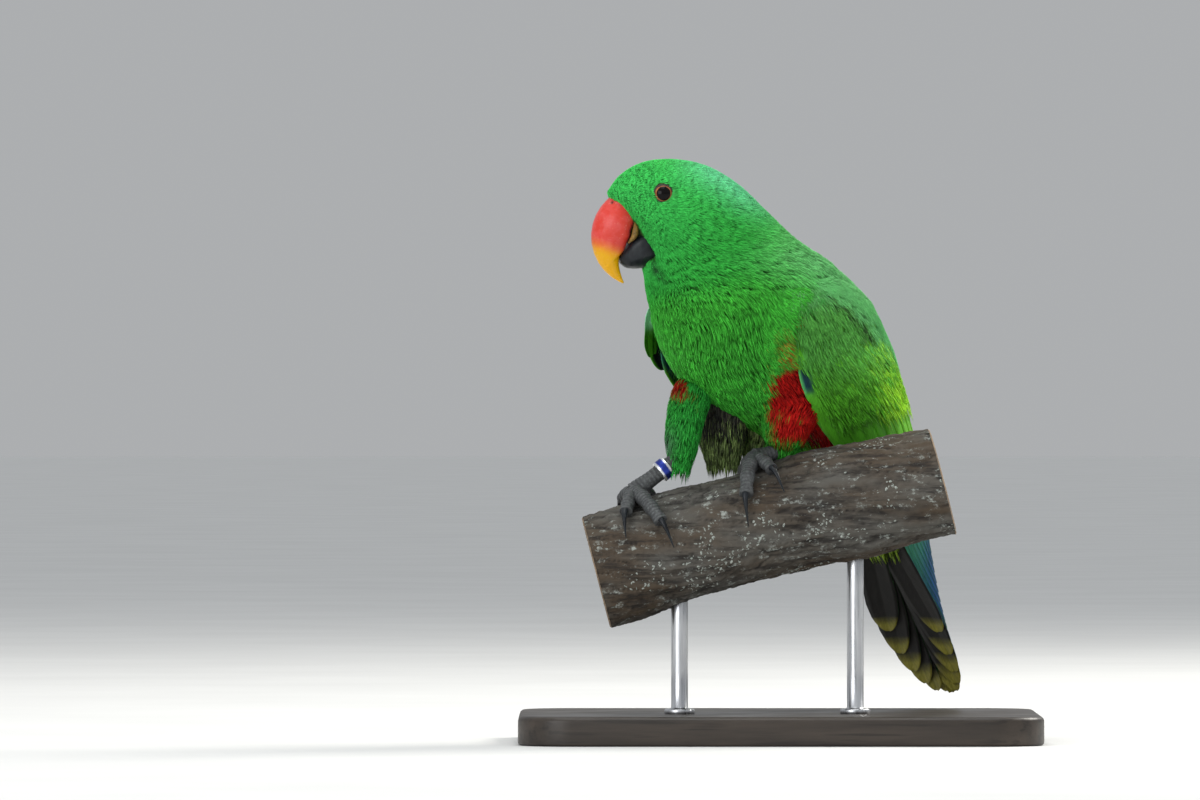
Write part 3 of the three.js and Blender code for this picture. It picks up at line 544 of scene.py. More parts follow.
def squared(wave, power):
    """A sine or cosine that makes a round section squarer, the more so the lower the power."""
    return np.sign(wave) * np.abs(wave) ** power


def bird_place(ahead, left, up):
    """The bird's own measure, forward, left and up from its belly, as a place in the frame."""
    ahead, left, up = (np.asarray(value, float)[..., None] for value in (ahead, left, up))
    return BODY_AHEAD * ahead + BODY_LEFT * left + UP * (up + BELLY_UP)


def turned_place(ahead, left, up, share):
    """The same after the head has turned by a share about the neck's upright axis."""
    turn = np.radians(HEAD_TURN) * share
    out = ahead - NECK_FORWARD
    forward = NECK_FORWARD + out * np.cos(turn) + left * np.sin(turn)
    return bird_place(forward, left * np.cos(turn) - out * np.sin(turn), up)


def body_place(ahead, left, up):
    return turned_place(ahead, left, up, smooth(0.643 * ahead + 0.766 * up, *TWIST))


def through(points):
    """A smooth curve through points, read by a share from 0 to 1."""
    points = np.array(points, float)
    all_points = np.vstack([2 * points[0] - points[1], points, 2 * points[-1] - points[-2]])
    gaps = np.linalg.norm(np.diff(all_points, axis=0), axis=1) ** 0.5
    spans = []
    for i in range(len(points) - 1):
        p0, p1, p2, p3 = all_points[i : i + 4]
        d0, d1, d2 = gaps[i : i + 3]
        leave = ((p1 - p0) / d0 - (p2 - p0) / (d0 + d1) + (p2 - p1) / d1) * d1
        arrive = ((p2 - p1) / d1 - (p3 - p1) / (d1 + d2) + (p3 - p2) / d2) * d1
        square = -3 * p1 + 3 * p2 - 2 * leave - arrive
        spans.append([p1, leave, square, 2 * p1 - 2 * p2 + leave + arrive])
    spans = np.array(spans)

    def at(share):
        place = np.clip(np.asarray(share, float), 0, 1) * len(spans)
        span = np.minimum(place.astype(int), len(spans) - 1)
        rest = (place - span)[..., None]
        start, slope, square, cube = (spans[span, power] for power in range(4))
        return ((cube * rest + square) * rest + slope) * rest + start

    return at


def profile(rows):
    """A smooth curve through (station, value) rows, read by station."""
    points = through([(station * MM_PER_STATION, value) for station, value in rows])
    drawn = points(np.linspace(0, 1, len(rows) * 12 + 1))
    return lambda station: np.interp(np.asarray(station) * MM_PER_STATION, drawn[:, 0], drawn[:, 1])


back_line = through([back for back, belly, half in STATIONS])
belly_line = through([belly for back, belly, half in STATIONS])
half_widths = through([(i * 10, half) for i, (back, belly, half) in enumerate(STATIONS)])


def body(station, angle, raised=0.0):
    """A point of the body at a station, at an angle in degrees from the back round to the left,
    raised by some millimetres. Past the last station the face closes round the bill."""
    station, angle, raised = np.broadcast_arrays(station, angle, raised)
    past = np.clip(station - LAST, 0, 1)
    t = np.minimum(station / LAST, 1)
    back, belly, half = back_line(t), belly_line(t), half_widths(t)[..., 1]
    middle = (back + belly) / 2
    to_back = back - middle
    deep = np.linalg.norm(to_back, axis=-1)
    to_back = to_back / deep[..., None]
    cosine, sine = np.cos(np.radians(angle)), np.sin(np.radians(angle))
    steep = np.hypot(cosine / deep, sine / half)
    drawn = 1 - past
    up = deep * squared(cosine, FULLNESS) * drawn + raised * cosine / deep / steep
    left = half * squared(sine, FULLNESS) * drawn + raised * sine / half / steep
    bulge = FACE_BULGE * np.sin(past * np.pi / 2)
    ahead = middle[..., 0] + to_back[..., 0] * up + to_back[..., 1] * bulge
    rise = middle[..., 1] + to_back[..., 1] * up - to_back[..., 0] * bulge
    return body_place(ahead, left, rise)


# angle rows of a folded wing's upper and lower edges from the back, and the arm inside it
UPPER_EDGE = profile(
    ((0.3, 30), (1, 16), (2, 11), (3, 9), (4, 10), (5, 16), (6, 28), (7, 43), (7.6, 57), (7.95, 72))
)
LOWER_EDGE = profile(
    ((0.3, 62), (1, 92), (2, 118), (3, 131), (4, 135), (5, 128), (6, 124), (7, 116), (7.6, 105), (7.95, 92))
)
ARM_TOP = profile(
    ((2.3, -4.4), (3.2, -3.8), (4.2, -1.9), (4.9, 0.2), (5.5, 2.4), (6.2, 3.6), (7.2, 3.2), (7.95, 0))
)
ARM_RIM = profile(
    ((2.3, -4.5), (3.2, -4.2), (4.2, -3.2), (4.9, -1.4), (5.5, 0.2), (6.2, 0.6), (7.2, 0.5), (7.95, -0.8))
)
WING_AWAY = {"left": 1, "right": 8}


def wing_away(side, station, across):
    """How far a wing's lower edge stands off the trunk. The right one is far out up to its bend."""
    shoulder = (1 - 0.3 * smooth(station, 6.3, 6.9)) * (1 - 0.8 * smooth(station, 7.6, 7.9))
    away = np.where(side > 0, WING_AWAY["left"], WING_AWAY["right"] * shoulder)
    return away * np.clip(across, 0, 1) ** 2


def wing_place(side, station, across, raised=0.0):
    """A point of a wing: across runs from 0 at its upper edge to 1 at its lower one. side is 1 on the
    left and -1 on the right."""
    angle = mix(UPPER_EDGE(station), LOWER_EDGE(station), across)
    return body(station, side * angle, wing_away(side, station, across) + raised)


def arm_height(station, across):
    """The height over the trunk of the wing arm and its muscle, under the feathers."""
    crown = 1 - (2 * across - 1) ** 6
    return mix(ARM_RIM(station), ARM_TOP(station), np.clip(crown, 0, 1))


def rows_and_turns(rows, turns):
    """A grid of shares along something and of angles round it in degrees."""
    return np.meshgrid(np.linspace(0, 1, rows), all_round(turns, 360), indexing="ij")


def limb(points, radius, first_up):
    """A round limb along a curve: a function of the share along it and the angle round it. Past a
    share of 1 it runs straight on."""
    path = through(points)
    shares = np.linspace(0, 1, 61)
    middles = path(shares)
    tangents = unit(np.gradient(middles, axis=0))
    up, sides, ups = np.array(first_up, float), [], []
    for tangent in tangents:
        side = unit(np.cross(tangent, up))
        up = np.cross(side, tangent)
        sides.append(side)
        ups.append(up)
    sides, ups = np.array(sides), np.array(ups)

    def at(share, angle, raised=0.0):
        share, angle, raised = np.broadcast_arrays(share, angle, raised)
        read = lambda rows: np.stack([np.interp(share, shares, rows[:, k]) for k in range(3)], -1)
        reach = (radius(share) + raised)[..., None]
        round_ = np.radians(angle)[..., None]
        beyond = np.clip(share - 1, 0, None)[..., None] * (middles[-1] - middles[-2]) * (len(shares) - 1)
        out = read(sides) * np.cos(round_) + read(ups) * np.sin(round_)
        return beyond + read(middles) + out * reach

    return at


# the shanks, from inside the belly down to the cuff of feathers at the ankle, and the loose flanks
# behind the right one
LEGS = {
    "left": {
        "side": 1, "hip": (8, 21, 2), "ankle": (14, 17, -24), "cuff": (14, 17, -24), "foot": -4,
        "wide": (17, 9),
    },
    "right": {
        "side": -1, "hip": (37, -17.5, 12), "ankle": (54, -16, -28.5), "cuff": (52.5, -15, -30),
        "foot": -62, "wide": (10.8, 7.4),
    },
}
FLANKS = {
    "flank": {"top": (20, -20, 8), "bottom": (21.5, -17, -26), "wide": (14, 9.5)},
    "vent": {"top": (2, -17, 4), "bottom": (5, -15, -21), "wide": (13, 7)},
}
SHANK_BULGE = 3


def shank(leg):
    top, bottom = bird_place(*leg["hip"]), bird_place(*leg["cuff"])
    bulge = mix(top, bottom, 0.45) + BODY_AHEAD * SHANK_BULGE
    wide = leg["wide"]

    def radius(t):
        dome = np.sqrt(1 - 0.8 * np.clip(1 - t / 0.4, 0, 1) ** 2)
        return mix(wide[0], wide[1], t**0.8) * dome * (1 - 0.3 * smooth(t, 0.75, 1.1))

    return limb([top, bulge, bottom], radius, BODY_AHEAD)


def loose_flank(flank):
    top, bottom = bird_place(*flank["top"]), bird_place(*flank["bottom"])
    wide = flank["wide"]
    radius = lambda t: mix(wide[0], wide[1], np.minimum(t, 1) ** 1.6) * (1 - 0.3 * smooth(t, 0.85, 1.3))
    return limb([top, mix(top, bottom, 0.5), bottom], radius, BODY_AHEAD)


shanks = {name: shank(leg) for name, leg in LEGS.items()}
flanks = {name: loose_flank(flank) for name, flank in FLANKS.items()}


# Colours of the plumage, which skin and feathers share. The green comes from yellow pigment over a
# blue structure, so it turns yellower towards belly and tail. The pale turquoise that makes the nape
# bluer is a painted sheen, the crown's lighter green is partly painted light from above, and the
# belly's yellow green is partly painted light on its shaded underside.
GREEN = np.array((0.062, 0.49, 0.045))
NECK = np.array((0.039, 0.44, 0.056))
CROWN_AND_PAINTED_LIGHT = np.array((0.066, 0.68, 0.125))
PAINTED_SHEEN = np.array((0.19, 0.78, 0.42))
BELLY_GREEN_AND_PAINTED_LIGHT = np.array((0.17, 0.66, 0.03))
WING_GREEN = np.array((0.105, 0.46, 0.026))
RUMP = np.array((0.165, 0.6, 0.19))
VENT = np.array((0.3, 0.46, 0.055))
CHIN = np.array((0.014, 0.03, 0.018))
GAPE_DARK = np.array((0.045, 0.06, 0.014))
RED = np.array((0.46, 0.01, 0.008))
DOWN = np.array((0.026, 0.026, 0.024))
RED_REACH = ((2.8, 3.5, 4.0, 4.5, 5.0, 5.5, 6.0, 6.5, 7.0, 7.4), (14, 20, 23, 26, 25, 17, 9, 5, 3, -6))
FAR_RED = 10


def blend(colour, *layers):
    """A colour with others over it, each given with its share. A number in place of a colour darkens or
    lightens what is under it."""
    for target, share in layers:
        over = colour * target if np.ndim(target) == 0 else target
        colour = colour + (over - colour) * np.clip(share, 0, 1)[..., None]
    return colour


def plain_colour(colour, places):
    """One colour for each of an array of places."""
    return np.broadcast_to(colour, places.shape + (3,))


def trunk_colour(station, angle, waver=0.0):
    """The colour of a feather's end at a station and an angle. waver moves the marks' edges, in
    degrees, so that single feathers stray over them."""
    around = np.abs(signed(angle))
    nape = smooth(station, 9.6, 11.2) * fade(station, 11.8, 13.6) * fade(around, 25, 75)
    chin = hump(station, 11.6, 1.4) * hump(around, 146, 7) * smooth(waver, -2.5, 0.5)
    colour = blend(
        plain_colour(GREEN, station),
        (NECK, smooth(station, 7.8, 10.0)),
        # the head's lighter green, strongest on top, is partly painted light from above
        (CROWN_AND_PAINTED_LIGHT, smooth(station, 9.5, 13.5) * (1 - 0.55 * smooth(around, 50, 130))),
        # painted sheen: pale turquoise over the nape
        (PAINTED_SHEEN, 0.75 * nape),
        (RUMP, fade(station, 8.6, 10.3) * fade(around, 60, 110)),
        (CHIN, 0.95 * chin),
        # painted shade: the left side of the breast is darker
        (0.7, 0.5 * hump(station, 6.8, 1.3) * hump(angle, 140, 30)),
        (GAPE_DARK, smooth(past_cheek(station, angle), -0.6, 0.6) * smooth(around, 30, 60)),
        # the belly's yellow green, made lighter as painted light on its shaded underside
        (BELLY_GREEN_AND_PAINTED_LIGHT, fade(station, 3.0, 5.2) * smooth(around, 110, 160)),
        (VENT, 0.6 * fade(station, 2.0, 3.4) * smooth(around, 100, 150)),
    )
    # the red of the flank comes out under the wing, and starts further back on the right
    right = mix(-30, FAR_RED, smooth(station, 4.4, 5.0)) - 32 * smooth(station, 5.8, 6.5)
    right = (signed(angle) < 0) * right
    reach = np.interp(station, *RED_REACH) + right
    loose = mix(2.4, 1.0, smooth(station, 4.6, 5.4))
    past = around - LOWER_EDGE(station)
    red = smooth(reach + waver * loose - past, -2, 3) * smooth(past, -14, -6)
    red = red * (reach > -5) * (station < 7.6) * smooth(station, 2.7, 3.2)
    return blend(colour, (RED, red))


# The skin is dark and shows only between the feathers. It is pulled over the body as one surface.
SKIN_DEPTH = {"trunk": 3.0, "head": 0.9, "limb": 2.2}
SKIN_GRID = (190, 160)
FACE_RINGS = 14
SKIN_VOXEL = 1.3


def wing_cover(station, angle):
    """Where the folded wings lie on the trunk, as how far across a wing, and the wing's side."""
    angle = signed(angle)
    side = np.where(angle < 0, -1, 1)
    upper, lower = UPPER_EDGE(station), LOWER_EDGE(station)
    return (np.abs(angle) - upper) / (lower - upper), side


def arm_over_trunk(station, angle):
    """How far the wing arms stand over the trunk, which falls to nothing round their edges."""
    across, side = wing_cover(station, angle)
    inside = smooth(across, -0.1, 0.04) * fade(across, 0.96, 1.07)
    ends = smooth(8.3 - station, 0, 0.5)
    under = 1 - 0.8 * smooth(station, 6.2, 7.2) * (side < 0)
    lift = arm_height(station, np.clip(across, 0, 1)) + wing_away(side, station, across) * under
    return np.maximum(lift, 0) * inside * ends


# where the horn of the bill meets the feathers of the cheek, as up and ahead in the head's measure
CHEEK_EDGE = (
    (60, 63, 65.2, 70, 79.3, 84.4, 90, 96.9, 99.5), (86, 80, 74.4, 75.9, 79.5, 82.1, 87.2, 94.0, 97.5),
)
CHEEK_HOLLOW = 7.5


def head_place(ahead, left, up):
    return turned_place(ahead, left, up, 1.0)


HEAD_ZERO = head_place(0, 0, 0)
HEAD_AHEAD = head_place(1.0, 0, 0) - HEAD_ZERO
HEAD_LEFT = head_place(0, 1.0, 0) - HEAD_ZERO


def past_cheek(station, angle):
    """How far a place on the face lies ahead of the cheek's edge, in millimetres."""
    out = body(station, angle) - HEAD_ZERO
    ahead = out @ HEAD_AHEAD
    return np.where(station > 11, ahead - np.interp(out[..., 2], *CHEEK_EDGE), -20)


def cheek_hollow(station, angle):
    """How far the face falls in beside the bill, which makes the cheeks stand out."""
    around = np.abs(signed(angle))
    beside = smooth(around, 25, 60) * fade(around, 150, 172)
    return -CHEEK_HOLLOW * smooth(past_cheek(station, angle), -4.0, 1.5) * beside


def trunk_closing(station):
    """How far the trunk falls in where it closes behind, inside the tail's root."""
    reach, depth = TRUNK_CLOSES
    return depth * np.clip(1 - (station - TRUNK_END) / reach, 0, None) ** 2


def trunk_outside(station, angle, raised=0.0):
    """The trunk with the shoulders of the wings, which feathers of breast and back lap over. A saddle
    of fuller feathers fills the gap between the wings, and the breast is drawn in on the right."""
    shoulder = smooth(station, 6.1, 6.9)
    across = wing_cover(station, angle)[0]
    around = np.abs(signed(angle))
    saddle = 2.6 * fade(across, 0.0, 0.12) * fade(around, 40, 60)
    saddle = saddle * fade(station, 6.6, 7.8) * smooth(station, 2.2, 3.6)
    tuck = -2.4 * hump(station, 7.2, 1.0) * hump(signed(angle), -148, 18)
    lift = arm_over_trunk(station, angle) * shoulder + saddle + cheek_hollow(station, angle)
    return body(station, angle, lift + tuck - trunk_closing(station) + raised)


def paint(piece, colours):
    """Gives a piece the colour of its plumage at each vertex."""
    mark(piece, "plumage", np.column_stack([colours, np.ones(len(colours))]), "FLOAT_COLOR")


def join_pieces(pieces):
    """Joins pieces to the first of them."""
    with bpy.context.temp_override(active_object=pieces[0], selected_editable_objects=pieces):
        bpy.ops.object.join()
    return pieces[0]


def bird_skin():
    finish = Finish("skin", gloss=0.2)
    grain = finish.noise(900, 3)
    dark = finish.ramp(grain, (0.3, 0.35), (0.7, 0.6))
    base = finish.mix(dark, finish.attribute("plumage"), (0.012, 0.045, 0.012, 1))
    finish.wear(base, 0.8, finish.bump(grain, 0.5, 0.0005))
    rings, sides = SKIN_GRID
    face = LAST + np.linspace(0.05, 0.9, FACE_RINGS)
    station = np.concatenate([np.linspace(TRUNK_END, LAST, rings - FACE_RINGS), face])
    s, a = np.meshgrid(station, all_round(sides, 360), indexing="ij")
    depth = mix(SKIN_DEPTH["trunk"], SKIN_DEPTH["head"], smooth(s, 8, 12))
    across, side = wing_cover(s, a)
    stands_off = (side < 0) * smooth(across, 0.3, 0.5) * fade(s, 6.0, 6.8)
    lift = arm_over_trunk(s, a) * smooth(s, 2.6, 3.4) * (1 - stands_off) + cheek_hollow(s, a)
    shell = body(s, a, lift - depth - trunk_closing(s))
    parts = [tube("skin", shell, finish.material)]
    t, turn = rows_and_turns(24, 36)
    for limb_at in (shanks | flanks).values():
        parts.append(tube("limb", limb_at(t, turn, -SKIN_DEPTH["limb"]), finish.material))
    whole = join_pieces(parts)
    whole.modifiers.new("remesh", "REMESH").voxel_size = SKIN_VOXEL * MM
    whole.modifiers.new("relax", "SMOOTH").iterations = 4
    whole.data = baked_mesh(whole)
    whole.data.shade_smooth()
    # each point of the skin has the colour of the nearest point of the trunk
    tree = kdtree.KDTree(s.size)
    for i, point in enumerate((shell.reshape(-1, 3) * MM).tolist()):
        tree.insert(point, i)
    tree.balance()
    nearest = np.array([tree.find(vertex.co)[1] for vertex in whole.data.vertices])
    paint(whole, trunk_colour(s.ravel()[nearest], a.ravel()[nearest]))
    return whole


skin = bird_skin()
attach(skin, "root")
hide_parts("torso", "neck", "head", "leg_left", "leg_right")


# The bill is horn over bone: a deep coral upper half that runs to yellow at its hooked tip, notched
# on each cutting edge, over a short black lower half. Skin folds join the two at the gape.
BILL_MIDDLE = (78.5, 78)
BILL_RADIUS = 24
# the upper half's angle round the middle, depth and half width
UPPER_BILL = (
    (66, 16.4, 8.2), (60, 16.8, 8.7), (50, 17.3, 9.2), (36, 17.8, 9.5), (21, 18.1, 9.4), (0, 18.5, 8.6),
    (-14, 17.5, 7.6), (-25, 16, 6.7), (-35, 14.2, 5.8), (-38.6, 12.8, 5.3), (-40.2, 10.3, 4.85),
    (-44, 9, 4.2), (-51, 6.8, 3.2), (-61, 3.7, 1.7), (-69, 0.8, 0.5),
)
# the lower half's cutting edge and chin as ahead and up, and its half width
LOWER_BILL = (
    ((70, 80.5), (65, 66), 8.8), ((76, 81), (71, 64.2), 10.4), ((80.4, 79.4), (76.2, 63.1), 10.4),
    ((84.6, 75.4), (81.8, 62.6), 8.7), ((87.2, 71.2), (86, 63.2), 6.4), ((88.9, 68.8), (88.5, 65), 4),
)
NOSTRIL = {"at": (93.4, 5.1, 94.4), "radius": 0.845, "deep": 1.1}
GAPE = ((82.6, 8.0, 84.6), (82.3, 8.7, 81.6), (83.0, 8.6, 78.2), (85.6, 7.4, 74.8))
TONGUE = ((76, 77), (80, 76), (84, 73.4))
CORAL = (0.62, 0.045, 0.03, 1)
PINK = (0.7, 0.115, 0.115, 1)
AMBER = (0.72, 0.2, 0.01, 1)
YELLOW = (0.72, 0.36, 0.002, 1)


def red_horn():
    finish = Finish("red_horn", gloss=0.2, Coat_Weight=0.2, Coat_Roughness=0.16)
    ripe = finish.attribute("ripe", "Fac")
    cloud = finish.noise(140, 3, 0.6)
    edge = finish.plus(ripe, finish.math("SUBTRACT", cloud, 0.5), 0.25)
    horn = finish.stain(CORAL, PINK, cloud, (0.42, 0.0), (0.7, 0.6))
    colour = finish.ramp(edge, (0.1, (0, 0, 0, 1)), (0.62, (1, 1, 1, 1)))
    gold = finish.ramp(edge, (0.3, AMBER), (0.8, YELLOW))
    colour = finish.mix(colour, horn, gold)
    specks = finish.noise(900, 2, 0.6)
    colour = finish.stain(colour, (0.85, 0.62, 0.55, 1), specks, (0.72, 0.0), (0.78, 0.3))
    dark = finish.attribute("pit", "Fac")
    colour = finish.mix(dark, colour, (0.03, 0.012, 0.01, 1))
    layers = finish.noise(420, 3, 0.5, stretch=(1.0, 1.0, 0.35))
    scuffs = finish.noise(520, 4, 0.7, stretch=(1.0, 1.0, 2.6))
    colour = finish.stain(colour, (0.86, 0.5, 0.36, 1), scuffs, (0.6, 0.0), (0.74, 0.25))
    normal = finish.bump(finish.plus(layers, scuffs, 0.7), 0.22, 0.0005)
    rough = finish.ramp(layers, (0.35, 0.3), (0.7, 0.5))
    return finish.wear(colour, rough, normal)


def black_horn(name, low=0.28, high=0.5):
    finish = Finish(name, gloss=0.25)
    cloud = finish.noise(180, 4, 0.6)
    lines = finish.noise(700, 3, 0.6, stretch=(1.0, 1.0, 0.3))
    colour = finish.ramp(cloud, (0.3, (0.005, 0.006, 0.008, 1)), (0.75, (0.018, 0.022, 0.026, 1)))
    colour = finish.stain(colour, (0.07, 0.075, 0.08, 1), lines, (0.62, 0.0), (0.74, 0.35))
    rough = finish.ramp(cloud, (0.3, low), (0.7, high))
    return finish.wear(colour, rough, finish.bump(lines, 0.2, 0.0003))


def upper_bill():
    line = through(UPPER_BILL)
    t, around = rows_and_turns(130, 72)
    around = np.radians(around)
    angle, depth, half = np.moveaxis(line(t), -1, 0)
    inner = BILL_RADIUS - depth
    reach = (BILL_RADIUS + inner) / 2 + depth / 2 * np.cos(around)
    # faint growth steps, and a keel that is a little flattened near the feathers
    growth = 0.04 * np.sin(angle * 0.55) * np.clip(np.cos(around) + 0.3, 0, 1)
    # the cutting edges make the inner side square
    square = mix(1.0, 0.5, smooth(-np.cos(around), -0.3, 0.6))
    wide = half * (1 - 0.1 * np.cos(around)) * squared(np.sin(around), square)
    ahead = BILL_MIDDLE[0] + (reach + growth) * np.cos(np.radians(angle))
    up = BILL_MIDDLE[1] + (reach + growth) * np.sin(np.radians(angle))
    grid = head_place(ahead, wide, up)
    pit = np.zeros(t.shape)
    forward, out, height = NOSTRIL["at"]
    for side in (1, -1):
        middle = head_place(forward, side * out, height)
        pit = np.maximum(pit, hump(np.linalg.norm(grid - middle, axis=-1), 0, NOSTRIL["radius"]))
    inward = unit(head_place(BILL_MIDDLE[0], 0, BILL_MIDDLE[1]) - grid)
    grid = grid + inward * (pit * NOSTRIL["deep"])[..., None]
    piece = tube("upper_bill", grid, red_horn())
    ripe = fade(up - 0.35 * (ahead - 89), 61.5, 77.0)
    mark(piece, "ripe", np.append(ripe.ravel(), (ripe[0, 0], ripe[-1, 0])))
    mark(piece, "pit", np.append(smooth(pit, 0.25, 0.8).ravel(), (0, 0)))
    return piece


def lower_bill():
    edge, chin = through([row[0] for row in LOWER_BILL]), through([row[1] for row in LOWER_BILL])
    wide = through([(i * 5, row[2]) for i, row in enumerate(LOWER_BILL)])
    t, around = rows_and_turns(80, 64)
    around = np.radians(around)
    top, bottom, half = edge(t), chin(t), wide(t)[..., 1]
    middle = (top + bottom) / 2
    rise = top - middle
    up = squared(np.cos(around), mix(0.5, 0.8, smooth(-np.cos(around), 0, 0.5)))
    # the cutting edge is a thin rim round a shallow trough
    trough = 2.0 * np.clip(np.cos(around), 0, 1) ** 12 * smooth(t, 0.1, 0.4)
    steps = 0.07 * np.sin(t * 46) * np.clip(-np.cos(around) + 0.4, 0, 1)
    left = half * np.sin(around) * (1 + 0.12 * np.cos(around)) + steps * np.sin(around)
    ahead = middle[..., 0] + rise[..., 0] * up
    height = middle[..., 1] + rise[..., 1] * up - trough
    return tube("lower_bill", head_place(ahead, left, height), black_horn("black_horn"))


def gape_skin():
    finish = Finish("gape_skin", gloss=0.35)
    grain = finish.noise(800, 3)
    colour = finish.ramp(grain, (0.3, (0.1, 0.055, 0.012, 1)), (0.7, (0.3, 0.17, 0.03, 1)))
    finish.wear(colour, 0.55, finish.bump(grain, 0.5, 0.0003))
    folds = []
    t, angle = rows_and_turns(20, 16)
    thick = lambda share: 1.5 * np.sin(np.pi * np.clip(share, 0.04, 0.96)) ** 0.6
    for name, side in SIDES.items():
        fold = limb([head_place(f, side * l, u) for f, l, u in GAPE], thick, BODY_AHEAD)
        folds.append(tube("gape_" + name, fold(t, angle), finish.material))
    tongue = limb([head_place(f, 0, u) for f, u in TONGUE], lambda share: 6.4 - 1.6 * share, BODY_AHEAD)
    folds.append(tube("tongue", tongue(t, angle), black_horn("tongue_skin", 0.5, 0.7)))
    return folds


for piece, slot, node in (
    (upper_bill(), "red_horn", "bill_upper"), (lower_bill(), "black_horn", "bill_lower"),
):
    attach(piece, "root")
    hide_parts(node)
for fold in gape_skin():
    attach(fold, "root")


# The eyes are wet balls with a wide black pupil and a narrow brown iris. A rim of small beads of bare
# dark skin, the lids, closes round each.
EYE = {"forward": 70.4, "up": 98.3, "radius": 5.6, "out": 14.6, "bulge": 0.3}
PUPIL_EDGE, IRIS_EDGE = 36.0, 46.0
LID = {"radius": 4.3, "thick": 0.5, "out": 18.1, "beads": 30, "sides": 16, "flat": 0.92, "bow": 0.35}
EYE_TURNS = all_round(96)


def wet_eye():
    finish = Finish("wet_eye", gloss=0.02, Coat_Weight=0.2, Coat_Roughness=0.02)
    off = finish.attribute("off_axis", "Fac")
    rays = finish.noise(700, 3, 0.6)
    off = finish.plus(off, finish.math("SUBTRACT", rays, 0.5), 0.02)
    light = finish.ramp(rays, (0.35, 0.0), (0.7, 1.0))
    iris = finish.mix(light, (0.16, 0.045, 0.016, 1), (0.44, 0.17, 0.075, 1))
    black = (0.004, 0.003, 0.003, 1)
    inside = finish.ramp(off, (PUPIL_EDGE / 90 - 0.012, 0.0), (PUPIL_EDGE / 90 + 0.012, 1.0))
    outside = finish.ramp(off, (IRIS_EDGE / 90 - 0.05, 0.0), (IRIS_EDGE / 90 + 0.03, 1.0))
    ball = finish.mix(inside, black, iris)
    return finish.wear(finish.mix(outside, ball, (0.03, 0.012, 0.008, 1)), 0.3)


def lid_skin():
    finish = Finish("lid_skin", gloss=0.4)
    grain = finish.noise(1200, 3)
    inner = finish.attribute("inner", "Fac")
    dark = finish.ramp(grain, (0.3, (0.016, 0.014, 0.012, 1)), (0.7, (0.05, 0.044, 0.036, 1)))
    colour = finish.stain(dark, (0.26, 0.15, 0.09, 1), inner, (0.5, 0.0), (0.9, 0.8))
    return finish.wear(colour, 0.5, finish.bump(grain, 0.4, 0.0002))


eye_wet, eye_lid = wet_eye(), lid_skin()
for name, side in SIDES.items():
    middle, outward = head_place(EYE["forward"], side * EYE["out"], EYE["up"]), side * HEAD_LEFT
    polar = np.concatenate([np.linspace(1, 60, 60), np.linspace(64, 176, 20)])
    off, turn = np.meshgrid(polar, EYE_TURNS, indexing="ij")
    reach = EYE["radius"] + EYE["bulge"] * hump(off, 0, 32)
    across = HEAD_AHEAD * np.cos(turn)[..., None] + UP * np.sin(turn)[..., None]
    out = across * np.sin(np.radians(off))[..., None] + outward * np.cos(np.radians(off))[..., None]
    ball = tube("eyeball_" + name, middle + out * reach[..., None], eye_wet)
    mark(ball, "off_axis", np.append(off.ravel() / 90, (0, 2)))
    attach(ball, "root")
    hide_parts("eye_" + name)
    ring_middle = middle + outward * (LID["out"] - EYE["out"])
    turn, round_ = np.meshgrid(EYE_TURNS, all_round(LID["sides"]), indexing="ij")
    bead = 0.1 * np.cos(LID["beads"] * turn) + 0.05 * np.cos(LID["beads"] * 2.3 * turn + 1)
    thick = LID["thick"] + bead * np.clip(np.cos(round_) + 0.5, 0, 1)
    radial = HEAD_AHEAD * np.cos(turn)[..., None] + UP * (LID["flat"] * np.sin(turn))[..., None]
    rim = ring_middle + radial * (LID["radius"] + thick * np.cos(round_))[..., None]
    rim = rim + outward * (thick * np.sin(round_) - LID["bow"] * np.cos(2 * turn))[..., None]
    faces = hoop_faces(*turn.shape)[:, :: 1 if side < 0 else -1]
    lids = join_mesh("lids_" + name, rim.reshape(-1, 3), [faces], eye_lid)
    mark(lids, "inner", np.clip(-np.cos(round_), 0, 1) * np.clip(np.sin(round_) + 0.6, 0, 1))
    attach(lids, "root")


# Small feathers cover head, neck, breast, belly and back. Their barbs part into narrow strands, so
# each feather is a fan of them, rooted in the skin and laid back over the next.
TUFT_PATCH = 0.003
STRAND_SHAPE = ((0, 0.3, 0.7, 1), (0.6, 1.0, 0.72, 0.0))
STRAND_RIDGE = 0.42
FEATHER_WIDTH = 0.36
# painted shade darkens each strand towards its root, where the feathers over it shade it, and painted light
# brightens its tip
SHADE_ALONG = ((0, 0.3, 0.7, 1), (0.42, 0.84, 1.06, 1.18))


